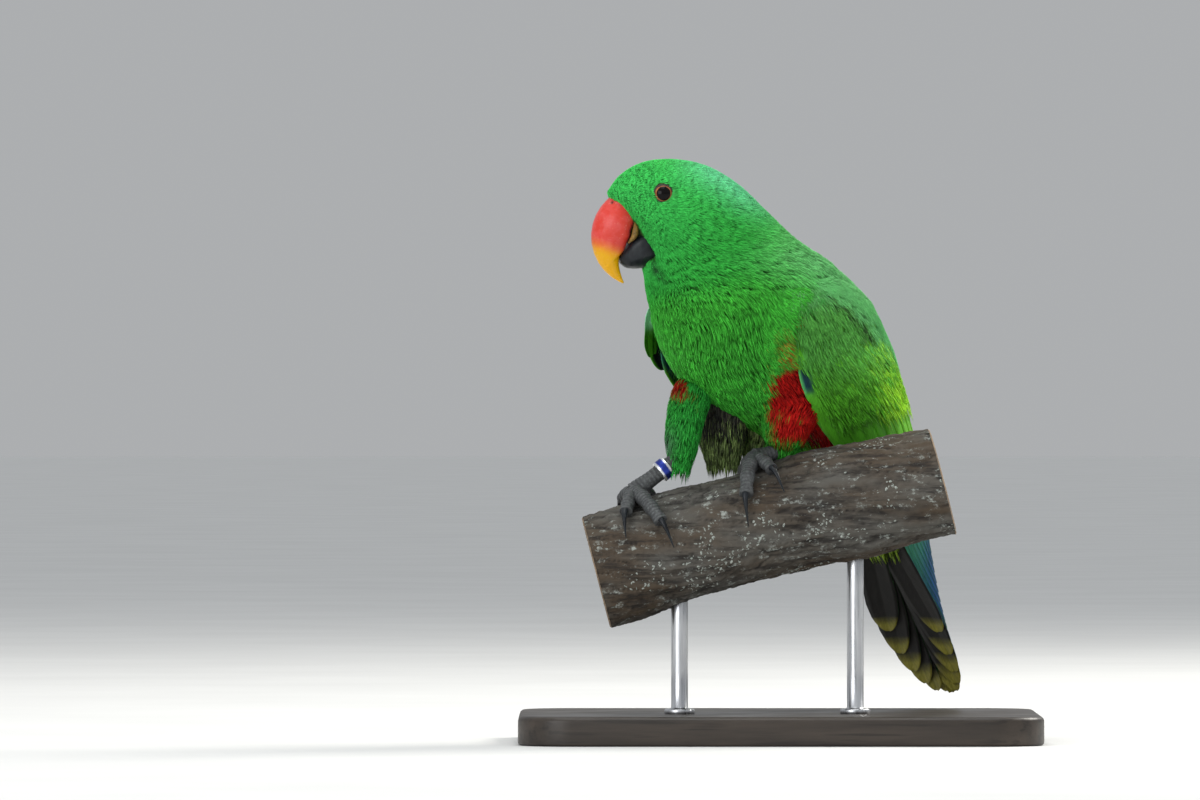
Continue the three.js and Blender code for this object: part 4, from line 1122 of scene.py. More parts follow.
class Hide:
    """A stretch of the bird that feathers grow on. at(station, around, raised) gives its places, and
    feathers lie towards lower stations."""

    def __init__(self, at, around_step, slowest, slowest_around=0.02):
        self.at, self.steps, self.slowest = at, (0.02, around_step), (slowest, slowest_around)

    def frame(self, station, around):
        """The places, how they change along and across, and the normals."""
        here = self.at(station, around)
        along = (self.at(station + self.steps[0], around) - here) / self.steps[0]
        across = (self.at(station, around + self.steps[1]) - here) / self.steps[1]
        normal = unit(np.cross(along, across))
        out = self.at(station, around, 1.0) - here
        return here, along, across, normal * np.sign((normal * out).sum(-1))[..., None]

    def speeds(self, along, across):
        """Millimetres for each station and for each unit around, and never fewer than the slowest."""
        steps = np.linalg.norm(along, axis=-1), np.linalg.norm(across, axis=-1)
        return [np.maximum(step, slowest) for step, slowest in zip(steps, self.slowest)]

    def rows(self, top, bottom, arounds, pitch, rng, keep=None):
        """Roots between two stations, in rows a pitch apart, evenly spaced and a little out of line."""
        fine = np.linspace(*arounds, 241)
        station, phase, found = top, 0.0, []
        while station > bottom:
            gap = pitch(station)
            _, along, across, _ = self.frame(np.full(len(fine), station), fine)
            per_station, per_around = self.speeds(along, across)
            height = gap / np.percentile(per_station, 75)
            density = per_around * per_station * height / gap**2
            total = np.concatenate([[0], np.cumsum((density[1:] + density[:-1]) / 2 * np.diff(fine))])
            phase = (phase + 0.5) % 1
            wanted = np.arange(phase, total[-1], 1.0)
            wanted += rng.uniform(-0.3, 0.3, len(wanted))
            around = np.interp(wanted, total, fine)
            found.append(np.stack([station + height * rng.uniform(-0.8, 0.8, len(around)), around], -1))
            station -= height
        spots = np.concatenate(found)
        return spots if keep is None else spots[keep(spots[:, 0], spots[:, 1])]


class Coat:
    """A piece of plumage: tufts of one hide, joined as one mesh, with a colour for each vertex and the
    baking map, in which each tuft is a small patch at its root's place."""

    def __init__(self, name, hide, stations, arounds):
        self.name, self.hide, self.reaches = name, hide, (arounds, stations)
        self.points, self.faces, self.colours, self.maps, self.used = [], [], [], [], 0

    def patch(self, station, around):
        """The places of roots on the baking map."""
        low, high = np.array(self.reaches, float).T
        return 0.02 + 0.96 * np.clip((np.stack([around, station], -1) - low) / (high - low), 0, 1)

    def strands(self, station, around, heading, turn, length, half, low, high, tone, colour, rings, shade):
        """Closed narrow strands of three sides. heading is a strand's direction at its root and turn how
        far it swings to its tip, and low and high are its heights there."""
        shares = np.arange(rings + 1) / rings
        track = [(station, around)]
        for share in shares[:-1]:
            s, a = track[-1]
            _, along, across, _ = self.hide.frame(s, a)
            per_station, per_around = self.hide.speeds(along, across)
            way = heading + turn * share
            stride = length / rings
            track.append((s - np.cos(way) * stride / per_station, a + np.sin(way) * stride / per_around))
        centres, normals = [], []
        for share, (s, a) in zip(shares, track):
            here, _, _, normal = self.hide.frame(s, a)
            raised = mix(low, high, smooth(share, 0, 0.45))
            centres.append(here + normal * raised[:, None])
            normals.append(normal)
        columns = []
        for k in range(rings):
            side = unit(np.cross(normals[k], centres[k + 1] - centres[max(k - 1, 0)]))
            wide = (half * np.interp(shares[k], *STRAND_SHAPE))[:, None]
            ridge = centres[k] + normals[k] * wide * STRAND_RIDGE
            columns += [centres[k] + side * wide, ridge, centres[k] - side * wide]
        columns.append(centres[-1])
        points = np.stack(columns, 1)
        count, size = points.shape[:2]
        first = self.used + np.arange(count)[:, None] * size
        quads = []
        for k in range(rings - 1):
            l, m, r = 3 * k, 3 * k + 1, 3 * k + 2
            quads += [(l, m, m + 3, l + 3), (m, r, r + 3, m + 3), (r, l, l + 3, r + 3)]
        l, m, r, tip = size - 4, size - 3, size - 2, size - 1
        triangles = [(l, m, tip), (m, r, tip), (r, l, tip), (0, 2, 1)]
        kinds = (quads, triangles)
        self.faces.append([np.concatenate([first + np.array(f) for f in kind]) for kind in kinds])
        places = np.append(np.repeat(shares[:-1], 3), 1.0)
        shade = mix(1.0, np.interp(places, *SHADE_ALONG), shade)[:, None]
        self.colours.append((colour[:, None] * shade * tone[:, None, None]).reshape(-1, 3))
        sideways = np.append(np.tile([-0.45, 0.0, 0.45], rings), 0.0)
        offset = np.stack([sideways, places - 0.5], -1) * TUFT_PATCH
        self.maps.append((self.patch(station, around)[:, None] + offset).reshape(-1, 2))
        self.points.append(points.reshape(-1, 3))
        self.used += count * size

    def fans(
        self, spots, size, colour_at, rng, barbs, rings=3, spread=0.2, high=0.35, loft=1.0, shade=1.0,
        grain=0.3, lie=None,
    ):
        """Feathers at spots, each a fan of barbs strands. size(station) gives a feather's length, and
        lie(station, around) how far it turns aside. loft is how loosely the feathers lie, and grain how
        much the strands differ in tone."""
        each, every = (len(spots), 1), (len(spots), barbs)
        length = size(spots[:, :1]) * rng.uniform(0.88, 1.14, each)
        lean = rng.normal(0, 0.05, each)
        if lie is not None:
            lean += lie(*spots.T)[:, None]
        tone = rng.uniform(0.93, 1.07, each)
        lift = rng.uniform(-0.15, 0.3, each) * loft
        waver = rng.normal(0, 2.2, each)
        u = np.linspace(-1, 1, barbs) + rng.uniform(-0.12, 0.12, every)
        wide = length * FEATHER_WIDTH
        back = length * rng.uniform(0.0, 0.3, every)
        _, along, across, _ = self.hide.frame(*spots.T)
        per_station, per_around = (speed[:, None] for speed in self.hide.speeds(along, across))
        beside, cosine, sine = u * wide * 0.6, np.cos(lean), np.sin(lean)
        s = spots[:, :1] + (beside * sine - back * cosine) / per_station
        a = spots[:, 1:] + (beside * cosine + back * sine) / per_around
        heading = lean + u * spread + rng.normal(0, 0.04, every)
        reach = length * (1 - 0.22 * u**2) * rng.uniform(0.72, 1.14, every) - back
        half = wide / barbs * 0.95 * rng.uniform(0.75, 1.25, every)
        depth = mix(SKIN_DEPTH["trunk"], SKIN_DEPTH["head"], smooth(s, 8, 12)) + 0.3
        top = high + lift + rng.uniform(-0.4, 0.4, every) * loft - 0.15 * u**2
        top = top * np.minimum(length / 9, 1)
        grey = (1 + grain * rng.uniform(-1, 0.8, every)) * tone
        colour = colour_at(s, a, waver + rng.normal(0, 1.5, every)).reshape(-1, 3)
        rows = (s, a, heading, -0.8 * u * spread, reach, half, -depth, top, grey)
        self.strands(*(row.ravel() for row in rows), colour, rings, shade)

    def finish(self, material):
        faces = [np.concatenate(kind) for kind in zip(*self.faces)]
        piece = join_mesh(self.name, np.concatenate(self.points), faces, material)
        paint(piece, np.concatenate(self.colours))
        bake_map(piece, np.concatenate(self.maps))
        return piece


def bake_map(piece, places):
    """Gives a piece its baking map from one place for each vertex."""
    corners = np.empty(len(piece.data.loops), np.int32)
    piece.data.loops.foreach_get("vertex_index", corners)
    layer = piece.data.uv_layers.new(name="OFBake")
    layer.data.foreach_set("uv", places[corners].astype(np.float32).ravel())


def soft_plumage():
    finish = Finish("soft_plumage", gloss=0.08)
    fine = finish.noise(1500, 2)
    wide = finish.noise(90, 3)
    patchy = finish.ramp(wide, (0.3, 0.88), (0.7, 1.04))
    tone = finish.mix(1.0, patchy, finish.ramp(fine, (0.3, 0.86), (0.7, 1.06)), "MULTIPLY")
    colour = finish.mix(1.0, finish.attribute("plumage"), tone, "MULTIPLY")
    rough = finish.ramp(fine, (0.3, 0.5), (0.7, 0.68))
    return finish.wear(colour, rough, finish.bump(fine, 0.2, 0.0002))


# How the feathers' lie turns aside from the length of the body: station, angle and degrees. They part
# from the gape, lie level over the nape and hang down the breast, where the neck's twist draws them.
LIE = (
    (14.0, 120, 60), (11.9, 80, -23), (11.4, 117, 9), (10.8, 102, 2), (10.7, 39, -34), (10.6, 137, 24),
    (10.3, 75, -25), (8.95, 98, 20), (8.9, 82, 6), (8.4, 146, 31), (8.0, 117, 23), (6.8, 130, -12),
    (4.7, 146, 14), (5.7, 150, 3),
)
TWISTED = ((8.95, 161, 36), (7.9, 175, 42), (7.0, 163, 19), (6.5, -171, 12), (4.6, -164, 12))
LIE_REACH = 13.0


def lie_of_feathers(station, angle):
    s, a, turn = np.array(LIE + tuple((s, -a, -turn) for s, a, turn in LIE) + TWISTED).T
    gap = signed(angle[:, None] - a)
    weight = np.exp(-(((station[:, None] - s) * 17) ** 2 + (gap * 0.55) ** 2) / (2 * LIE_REACH**2))
    return np.radians((weight * turn).sum(-1) / (weight.sum(-1) + 0.12))


WHOLE_TURN = (-180, 180)
# the length of a feather by station
FEATHER_LENGTH = (
    (0, 3, 5, 7, 8, 9.2, 10.5, 12, 14, 15.5, 17), (17, 16, 15, 14, 12.5, 10.5, 8.4, 6.2, 4.6, 3.5, 2.4),
)
feather_length = lambda station: np.interp(station, *FEATHER_LENGTH)
trunk_hide = Hide(trunk_outside, 0.5, 4.0)


def bare_under_wing(station, angle):
    """True where a wing doesn't hide the trunk. The right one stands off and lets it show."""
    across, side = wing_cover(station, angle)
    low = np.where((side < 0) & (station < 6.6), 0.5, 0.9)
    hidden = (across > 0.14) & (across < low) & (station < 7.35) & (station > 0.3)
    return ~hidden


LASHES = {"behind": 1.1, "clear": 5.3}


def clear_of_face(station, angle):
    """True off the eyes and the horn of the bill."""
    here = trunk_outside(station, angle)
    ahead = EYE["forward"] + LASHES["behind"]
    eyes = [head_place(ahead, side * (LID["out"] - 0.5), EYE["up"]) for side in (1, -1)]
    off_eyes = np.min([np.linalg.norm(here - eye, axis=-1) for eye in eyes], axis=0) > LASHES["clear"]
    around = np.abs(signed(angle))
    behind_edge = (past_cheek(station, angle) < 0.4) | (here[:, 2] < BELLY_UP + 64)
    return off_eyes & (behind_edge | (around < 22) | (around > 166))


# name, from and to station, pitch of the feathers as a share of their length, strands in a feather and
# rings in a strand, spread of the strands, looseness, painted shade at the roots, grain, and where none
# grow
COAT_ZONES = (
    ("coat_face", 16.8, 13.7, 0.3, 9, 2, 0.25, 0.2, 0.4, 0.13, clear_of_face),
    ("coat_crown", 13.7, 11.5, 0.29, 10, 3, 0.22, 0.25, 0.4, 0.15, clear_of_face),
    ("coat_nape", 11.5, 9.5, 0.29, 12, 3, 0.18, 0.45, 0.6, 0.24, None),
    ("coat_neck", 9.5, 7.9, 0.3, 13, 3, 0.14, 0.9, 0.8, 0.36, bare_under_wing),
    ("coat_breast", 7.9, 5.6, 0.3, 14, 3, 0.12, 0.9, 0.8, 0.4, bare_under_wing),
    ("coat_belly", 5.6, 1.9, 0.32, 14, 3, 0.14, 0.9, 0.8, 0.36, bare_under_wing),
)
plumage = soft_plumage()
for number, zone in enumerate(COAT_ZONES):
    name, top, bottom, pitch, barbs, rings, spread, loft, shade, grain, keep = zone
    rng = np.random.default_rng(100 + number)
    coat = Coat(name, trunk_hide, (0, LAST + 1), WHOLE_TURN)
    spots = trunk_hide.rows(top, bottom, WHOLE_TURN, lambda s: feather_length(s) * pitch, rng, keep)
    coat.fans(
        spots, feather_length, trunk_colour, rng, barbs, rings, spread, 0.35, loft, shade, grain,
        lie_of_feathers,
    )
    piece = coat.finish(plumage)
    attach(piece, "root")
    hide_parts("torso" if top < 10 else "head")


# Loose feathers at the side of the breast lap over the front edge of the left wing.
RUST = np.array((0.42, 0.075, 0.014))


def over_wing(station, angle, raised=0.0):
    """The trunk, and over a wing's lower edge the height of its feathers."""
    edge = fade(wing_cover(station, angle)[0], 0.9, 1.12)
    lift = arm_over_trunk(station, angle) + mix(2.4, 0.8, smooth(station, 6.0, 7.0)) * edge
    return body(station, angle, lift + raised)


def fringe_colour(station, angle, waver=0.0):
    """Red over green shows as orange brown where the two mix."""
    around = np.abs(signed(angle))
    green = trunk_colour(station, np.full_like(angle, 150))
    low = fade(station + 0.12 * waver, 6.6, 7.3) * smooth(waver, -1.5, 2.5)
    return blend(green, (RUST, low * smooth(LOWER_EDGE(station) + 8 - around, 0, 4)))


fringe = Coat("coat_fringe", Hide(over_wing, 0.5, 8.0), (0, LAST + 1), WHOLE_TURN)
rng = np.random.default_rng(130)
station = rng.uniform(5.9, 8.1, 190)
spots = np.stack([station, LOWER_EDGE(station) + rng.uniform(0, 11, len(station))], -1)
turn = lambda s, a: np.radians(-mix(24, 4, smooth(s, 6.4, 8.0)))
length = lambda s: np.interp(s, (6, 7.2), (8.0, 11.0))
fringe.fans(spots, length, fringe_colour, rng, 12, 3, 0.12, 0.4, 0.7, 0.8, 0.4, turn)
fringe = fringe.finish(plumage)
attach(fringe, "root")
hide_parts("torso")


# A folded wing: flight feathers, then tiers of coverts that lap over them, each feather a thin curved
# vane on a shaft. The outer ones lie lowest, and the shoulder is clad in small soft feathers.
VANE_ROWS = np.array(
    (0, 0.06, 0.14, 0.24, 0.36, 0.5, 0.62, 0.7, 0.77, 0.83, 0.88, 0.92, 0.95, 0.975, 0.99, 1.0)
)
VANE_COLUMNS = np.array([-1, -0.72, -0.38, -0.06, 0, 0.06, 0.38, 0.72, 1])
VANE_THICK = 0.22
VANE_APART = 37.0
TILT = 0.8
ROOT_DEPTH = 1.3
BLUE = np.array((0.012, 0.075, 0.23))
TURQUOISE = np.array((0.12, 0.56, 0.42))
BLACKISH = np.array((0.012, 0.014, 0.018))
WING_EDGE_GREEN = np.array((0.42, 0.86, 0.038))
SLOT_DARK = np.array((0.006, 0.04, 0.055))
SLOT_PALE = np.array((0.11, 0.54, 0.15))
BEND_PALE = np.array((0.4, 0.86, 0.56))


def vane_width(along):
    rounding = np.clip((along - 0.7) / 0.3, 0, 1)
    return mix(0.5, 1, smooth(along, 0, 0.4)) * np.sqrt(1 - 0.985 * rounding**2)


class Vanes:
    """Long feathers joined as one mesh. Each is a closed curved sheet with a raised shaft, a colour for
    each vertex, a place of its own on the baking map and a map of its barbs."""

    def __init__(self, name, seed):
        self.name, self.rng = name, np.random.default_rng(seed)
        self.points, self.faces, self.colours, self.barbs, self.used = [], [], [], [], 0

    def add(self, at, colour_at, length, half, under_at=None):
        """at(along, wide, across, raised) gives places of the upper face, along from root to tip and
        across from -1 to 1, where wide is across as the vane narrows. colour_at(along, across) gives
        its colours, and under_at those of its lower face."""
        rows, columns = len(VANE_ROWS), len(VANE_COLUMNS)
        t, c = np.meshgrid(VANE_ROWS, VANE_COLUMNS, indexing="ij")
        ragged = 1 - 0.05 * self.rng.random((rows, columns)) * (np.abs(c) == 1) * (t > 0.2)
        wide = c * vane_width(t) * ragged
        upper = at(t, wide, c)
        onward = np.gradient(upper[:, columns // 2], axis=0)
        over = unit(np.cross(upper[:, -1] - upper[:, 0], onward))
        out = at(t, wide, c, 1.0) - upper
        over *= np.sign((over[:, None] * out).sum(-1).mean())
        camber = -0.05 * half * c**2 + 0.16 * (c == 0) * (1 - 0.7 * t)
        upper = upper + over[:, None] * camber[..., None]
        lower = upper - over[:, None] * VANE_THICK
        count = rows * columns
        at_ = self.used + np.arange(count).reshape(rows, columns)
        a, b, d, e = at_[:-1, :-1], at_[:-1, 1:], at_[1:, 1:], at_[1:, :-1]
        top = np.stack([a, b, d, e], -1).reshape(-1, 4)
        rim = np.concatenate([at_[0, :-1], at_[:-1, -1], at_[-1, :0:-1], at_[:0:-1, 0]])
        after = np.roll(rim, -1)
        walls = np.stack([after, rim, rim + count, after + count], -1)
        faces = np.concatenate([top, top[:, ::-1] + count, walls])
        flat = np.cross(upper[1, -1] - upper[1, 0], upper[2, 4] - upper[1, 4])
        if (flat * over[1]).sum() < 0:
            faces = faces[:, ::-1]
        self.faces.append(faces)
        self.points.append(np.concatenate([upper.reshape(-1, 3), lower.reshape(-1, 3)]))
        colours = colour_at(t, c).reshape(-1, 3)
        below = colours * 0.5 if under_at is None else under_at(t, c).reshape(-1, 3)
        self.colours.append(np.concatenate([colours, below]))
        strip = np.stack([wide * half, t * length], -1).reshape(-1, 2)
        self.barbs.append(np.concatenate([strip, strip]))
        self.used += 2 * count

    def finish(self, material):
        piece = join_mesh(self.name, np.concatenate(self.points), [np.concatenate(self.faces)], material)
        paint(piece, np.concatenate(self.colours))
        count = len(self.barbs)
        across = int(np.ceil(np.sqrt(count * 2)))
        down = int(np.ceil(count / across))
        maps = []
        for number, strip in enumerate(self.barbs):
            low, high = strip.min(0), strip.max(0)
            inside = 0.04 + 0.92 * (strip - low) / (high - low)
            cell = np.array([number % across, number // across])
            maps.append((cell + inside) / (across, down))
        bake_map(piece, np.concatenate(maps))
        order = np.repeat(np.arange(count), [len(strip) for strip in self.barbs])
        places = np.column_stack([np.concatenate(self.barbs), order * VANE_APART])
        mark(piece, "barb", places, "FLOAT_VECTOR")
        return piece


def vane_finish():
    finish = Finish("vane", gloss=0.12)
    barb = finish.attribute("barb", "Vector")
    split = finish.node("SeparateXYZ", {"Vector": barb})
    swept = finish.math("MULTIPLY", finish.math("ABSOLUTE", split.outputs[0]), -1.1)
    slant = finish.math("ADD", split.outputs[1], swept)
    narrow = finish.math("MULTIPLY", split.outputs[0], 0.06)
    lines = finish.node("CombineXYZ", {"X": slant, "Y": narrow, "Z": split.outputs[2]}).outputs[0]
    fine = finish.noise(2.6, 2, 0.6, at=lines)
    drawn = finish.node("Mapping", {"Vector": barb, "Scale": (1.0, 0.16, 1.0)}).outputs[0]
    streak = finish.noise(0.75, 3, 0.6, at=drawn)
    streaked = finish.ramp(streak, (0.32, 0.72), (0.68, 1.15))
    tone = finish.mix(1.0, finish.ramp(fine, (0.3, 0.72), (0.7, 1.08)), streaked, "MULTIPLY")
    colour = finish.mix(1.0, finish.attribute("plumage"), tone, "MULTIPLY")
    rough = finish.ramp(streak, (0.3, 0.42), (0.7, 0.6))
    normal = finish.bump(fine, 0.35, 0.0003)
    return finish.wear(colour, rough, normal)


def wing_top(station, across):
    """The height over the trunk on which coverts and shoulder feathers lie."""
    vanes = 1.6 + 2.7 * (1 - across) + 0.6
    return mix(vanes, arm_height(station, across) + 0.2, smooth(station, 5.6, 6.6))


# name, count, roots and tips of the first and last feather, bow, half width, heights of the lowest
# feather at root and tip, and the height of each one over the next there. The bend shows on the right
# wing alone, which stands off the breast.
TIERS = (
    ("primaries", 10, (3.5, .34), (4.1, .84), (1.5, .22), (0.3, .60), 0.12, 7.5, (-2.2, -1.6), (.16, .31)),
    ("secondaries", 12, (5.1, .10), (5.5, .84), (1.9, .12), (3.35, .92), 0.04, 7.5, (0.4, 0.3), (.25, .29)),
    ("greater", 12, (6.0, .10), (6.2, .85), (4.3, .10), (4.75, .93), 0.0, 6.6, (1.6, 1.6), (.23, .25)),
    ("median", 12, (6.7, .08), (6.8, .88), (5.35, .10), (5.75, .93), 0.0, 5.6, (2.2, 2.6), (.12, .24)),
)
BEND_TIER = ("bend", 4, (7.8, .78), (7.75, .94), (6.3, .88), (6.1, .99), 0.0, 4.6, (0.2, 1.6), (.12, .24))


def tier_colour(name, share, tone):
    """A function of along and across for the colours of one feather of a tier, share of the way
    through it."""
    def at(along, across):
        if name == "bend":
            return bend_colour(along, across) * tone
        if name == "primaries":
            return blend(
                plain_colour(BLACKISH, along),
                (BLUE * 0.8, smooth(across, 0.1, 0.6)),
                (WING_GREEN * 0.8, smooth(across, 0.5, 0.9) * fade(along, 0.5, 0.9)),
                (TURQUOISE * 0.5, smooth(across, 0.86, 1.0) * fade(along, 0.6, 0.95)),
            )
        base = plain_colour(WING_GREEN, along) * tone
        pale = smooth(1 - share, 0.35, 0.9) * smooth(along, 0.2, 0.8) * 0.7
        base = blend(base, (WING_EDGE_GREEN * tone, pale))
        if name == "greater":
            # the last feathers show the blue slot under the wing's edge
            rim = smooth(share, 0.9, 1.0)
            slot = rim * fade(along, 0.66, 0.8)
            base = blend(
                base,
                (0.7, rim * smooth(along, 0.5, 0.8)),
                (SLOT_DARK, slot * smooth(across, -0.1, 0.2)),
                (SLOT_PALE, slot * smooth(across, 0.72, 0.84)),
            )
        # a pale line along the shaft, and painted shade that darkens each feather towards its root, under
        # the feathers that lap over it
        return blend(base, (1.25, 0.5 * hump(across, 0, 0.05)), (0.72, 0.6 * fade(along, 0.25, 0.6)))
    return at


def under_colour(along, across):
    """The lower face of a covert: dusky, with a green edge that is turquoise near the shoulder."""
    edge = blend(plain_colour(WING_GREEN, along), (TURQUOISE, fade(along, 0.1, 0.35)))
    dusky = blend(plain_colour(BLACKISH, along), (BLUE * 0.4, fade(along, 0.3, 0.6)))
    return blend(dusky, (edge * 0.8, smooth(across, 0.45, 0.8)))


def bend_colour(along, across):
    """The bend of the wing: pale turquoise, and dull green further back."""
    return blend(plain_colour(BEND_PALE, along), (WING_GREEN * 0.6, smooth(along, 0.45, 0.65)))


def fold_wing(side, name):
    vanes = Vanes("wing_feathers_" + name, 300 + side)
    tiers = TIERS if side > 0 else TIERS + (BEND_TIER,)
    for tier, count, root_a, root_b, tip_a, tip_b, bow, half, rise, stack in tiers:
        for i in range(count):
            share = i / (count - 1)
            root, tip = (mix(*np.array(ends), share) for ends in ((root_a, root_b), (tip_a, tip_b)))
            tip += vanes.rng.uniform(-0.02, 0.02, 2) * (1, 0.3)
            bowed = bow * share

            def at(along, wide, column, raised=0.0, root=root, tip=tip, bowed=bowed, i=i):
                station = mix(root[0], tip[0], along)
                middle = mix(root[1], tip[1], along) + bowed * np.sin(np.pi * along)
                step = 0.05
                above, below = (wing_place(side, station, middle + off) for off in (-step, step))
                per_across = np.linalg.norm(above - below, axis=-1) / (2 * step)
                across = np.clip(middle + wide * half / per_across, 0, 1.02)
                level = mix(rise[0], rise[1], along) + (count - 1 - i) * mix(stack[0], stack[1], along)
                free = level + TILT * (column + 1) / 2
                sunk = ARM_TOP(root[0]) - ROOT_DEPTH
                height = mix(sunk, free, smooth(along, 0, 0.16))
                return wing_place(side, station, across, height + raised)

            length = (root[0] - tip[0]) * MM_PER_STATION
            colour = tier_colour(tier, share, vanes.rng.uniform(0.88, 1.12))
            vanes.add(at, colour, length, half, bend_colour if tier == "bend" else under_colour)
    return vanes


def covert_green(side):
    """Small coverts: soft green, bluer over the shoulder and yellow green on the wing's outer edge, with a
    painted shadow along the edge of the scapulars.
    """
    def at(station, across, waver=0.0):
        past = across - np.interp(station, *SHOULDER_LINE) + 0.008 * waver
        line = smooth(station, 5.9, 6.4) * fade(station, 7.5, 7.9)
        outer = fade(across + 0.02 * waver, 0.4, 0.7) * fade(station + 0.1 * waver, 4.4, 6.2)
        rim = smooth(across + waver * 0.003, 0.93, 0.97) * (side < 0)
        return blend(
            plain_colour(WING_GREEN, station),
            (RUMP * 0.8, 0.4 * smooth(station, 5.0, 6.6)),
            (RUMP * 0.92, 0.9 * fade(past, -0.05, 0.02) * smooth(station, 5.4, 6.4)),
            (RUMP, 0.7 * smooth(station, 7.2, 7.7)),
            # painted shadow: a dark line where the scapulars' edge lies over the coverts
            (0.15, line * hump(past, 0.035, 0.03)),
            (WING_EDGE_GREEN, 0.95 * outer),
            (0.8, smooth(across, 0.5, 0.8)),
            (TURQUOISE, rim * fade(station, 7.3, 7.7) * smooth(station, 6.3, 6.7)),
        )
    return at


# the shoulder's long soft feathers, the scapulars, as the station of the root, how far across it is and
# length, and the line where they end over the coverts, as station and across, along which a painted shadow
# runs
SCAPULARS = (
    (5.7, 0.1, 26), (6.1, 0.14, 26), (6.5, 0.18, 25), (6.9, 0.22, 23), (7.3, 0.28, 20), (7.6, 0.34, 17),
    (7.85, 0.42, 13),
)
SHOULDER_LINE = (
    (5.4, 5.9, 6.05, 6.4, 6.55, 7.0, 7.12, 7.35, 7.48, 7.75, 8),
    (0.3, 0.38, 0.33, 0.44, 0.39, 0.5, 0.45, 0.57, 0.52, 0.62, 0.64),
)
COVERT_LENGTH = ((4.2, 5.2, 6.4, 7.4, 8), (19, 18, 14, 10, 8))
vane_material = vane_finish()
for number, (name, side) in enumerate(SIDES.items()):
    piece = fold_wing(side, name).finish(vane_material)
    rng = np.random.default_rng(400 + number)

    def top_of_wing(station, across, raised=0.0, side=side):
        return wing_place(side, station, across, wing_top(station, np.clip(across, 0, 1)) + raised)

    shoulder = Hide(top_of_wing, 0.01, 6.0, 4.0)
    coat = Coat("wing_shoulder_" + name, shoulder, (4, 8), (-0.05, 1.05))
    covert_length = lambda s: np.interp(s, *COVERT_LENGTH)
    spots = shoulder.rows(7.95, 4.7, (0.02, 0.9), lambda s: covert_length(s) * 0.3, rng)
    coat.fans(spots, covert_length, covert_green(side), rng, 13, 3, 0.1, 1.0, 0.5, 0.5, 0.25)
    roots = np.array(SCAPULARS)
    spots = np.tile(roots[:, :2], (2, 1))
    spots += rng.uniform(-1, 1, spots.shape) * (0.12, 0.012)
    pale = lambda s, c, w=0.0: plain_colour(RUMP, s) * 1.05
    long = lambda s: np.interp(s, roots[:, 0], roots[:, 2])
    coat.fans(spots, long, pale, rng, 70, 4, 0.12, 1.5, 0.2, 0.5, 0.16)
    for made in (piece, coat.finish(plumage)):
        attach(made, "root")
        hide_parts("wing_" + name)


# The tail has six pairs of broad feathers, the middle pair on top. They are green above, bluer on the
# outer pairs, and dusky below, all with a narrow dull yellow end.
TAIL = {
    "root": (-56, -37.5), "slope": 59, "length": 122, "from": 14, "half": 10.5, "pairs": 6,
    "fan": 2.1, "step": 0.9, "shorter": 0.012, "droop": 0.004, "tilt": 0.3,
}
TAIL_GREEN = np.array((0.04, 0.235, 0.03))
TAIL_BLUE = np.array((0.02, 0.12, 0.19))
TAIL_END = np.array((0.36, 0.33, 0.06))
TAIL_DUSK = np.array((0.022, 0.021, 0.02))


def tail_place(along, across, over):
    """A place by the tail, along from its root, across to the left and over its upper face."""
    ahead, rise = -np.cos(np.radians(TAIL["slope"])), -np.sin(np.radians(TAIL["slope"]))
    start = TAIL["root"]
    up = start[1] + rise * along - ahead * over
    return body_place(start[0] + ahead * along + rise * over, across, up)


def tail_end(along, across):
    """The share along a tail feather, read round its blunt end."""
    return along + 0.015 * across**2


def tail_fan():
    vanes = Vanes("tail_feathers", 500)
    for pair in range(TAIL["pairs"]):
        for side in (1, -1):
            # the right middle feather lies on top, over its left neighbour's inner edge
            topmost = pair == 0 and side < 0
            level, inner = (1, -TAIL["half"]) if topmost else (-pair, 0.2)
            fan = np.radians((pair + 0.4) * TAIL["fan"])
            length = TAIL["length"] * (1 - TAIL["shorter"] * pair**2) - TAIL["from"]

            def at(along, wide, column, raised=0.0):
                reach = TAIL["from"] + along * length
                off = np.maximum(inner, reach * np.sin(fan) + wide * TAIL["half"])
                over = level * TAIL["step"] * smooth(along, 0.0, 0.4) + TAIL["tilt"] * column + raised
                return tail_place(reach * np.cos(fan), side * off, over - TAIL["droop"] * off**2)

            def above(along, across, pair=pair):
                outer = pair / (TAIL["pairs"] - 1)
                blue = smooth(across, -0.2, 0.7) * outer + 0.25 * smooth(along, 0.6, 0.95)
                return blend(
                    plain_colour(TAIL_GREEN, along),
                    (TAIL_BLUE, blue),
                    # painted shade darkens each feather towards its root, under the coverts and the
                    # feathers over it
                    (0.6, 0.6 * fade(along, 0.3, 0.6)),
                    (TAIL_END, smooth(tail_end(along, across), 0.93, 0.965)),
                )

            def below(along, across):
                pale = smooth(tail_end(along, across), 0.9, 0.95)
                return blend(plain_colour(TAIL_DUSK, along), (TAIL_END * 0.8, pale))

            vanes.add(at, above, length, TAIL["half"], below)
    return vanes.finish(vane_material)


tail = tail_fan()
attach(tail, "root")
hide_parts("tail")


# Softer coverts lap over the tail's root, green above and yellow-green below.
def covert_colour(station, around, waver=0.0):
    above = np.cos(np.radians(around)) > -0.1
    colour = np.where(above[..., None], RUMP * 0.95, VENT)
    # the lower coverts take the belly's green, which carries painted light
    return blend(colour, (BELLY_GREEN_AND_PAINTED_LIGHT, 0.5 * smooth(station, 0.4, 0.9) * ~above))


def tail_root(station, around, raised=0.0):
    """The stump of the tail: station runs from 1 in the rump to 0 well down the tail."""
    along = mix(46.0, -6.0, station)
    wide, deep = mix(12.0, 17.0, station) + raised, mix(4.4, 12.0, station**1.4) + raised
    turn = np.radians(around)
    return tail_place(along, wide * np.sin(turn), deep * np.cos(turn) - 2.5)


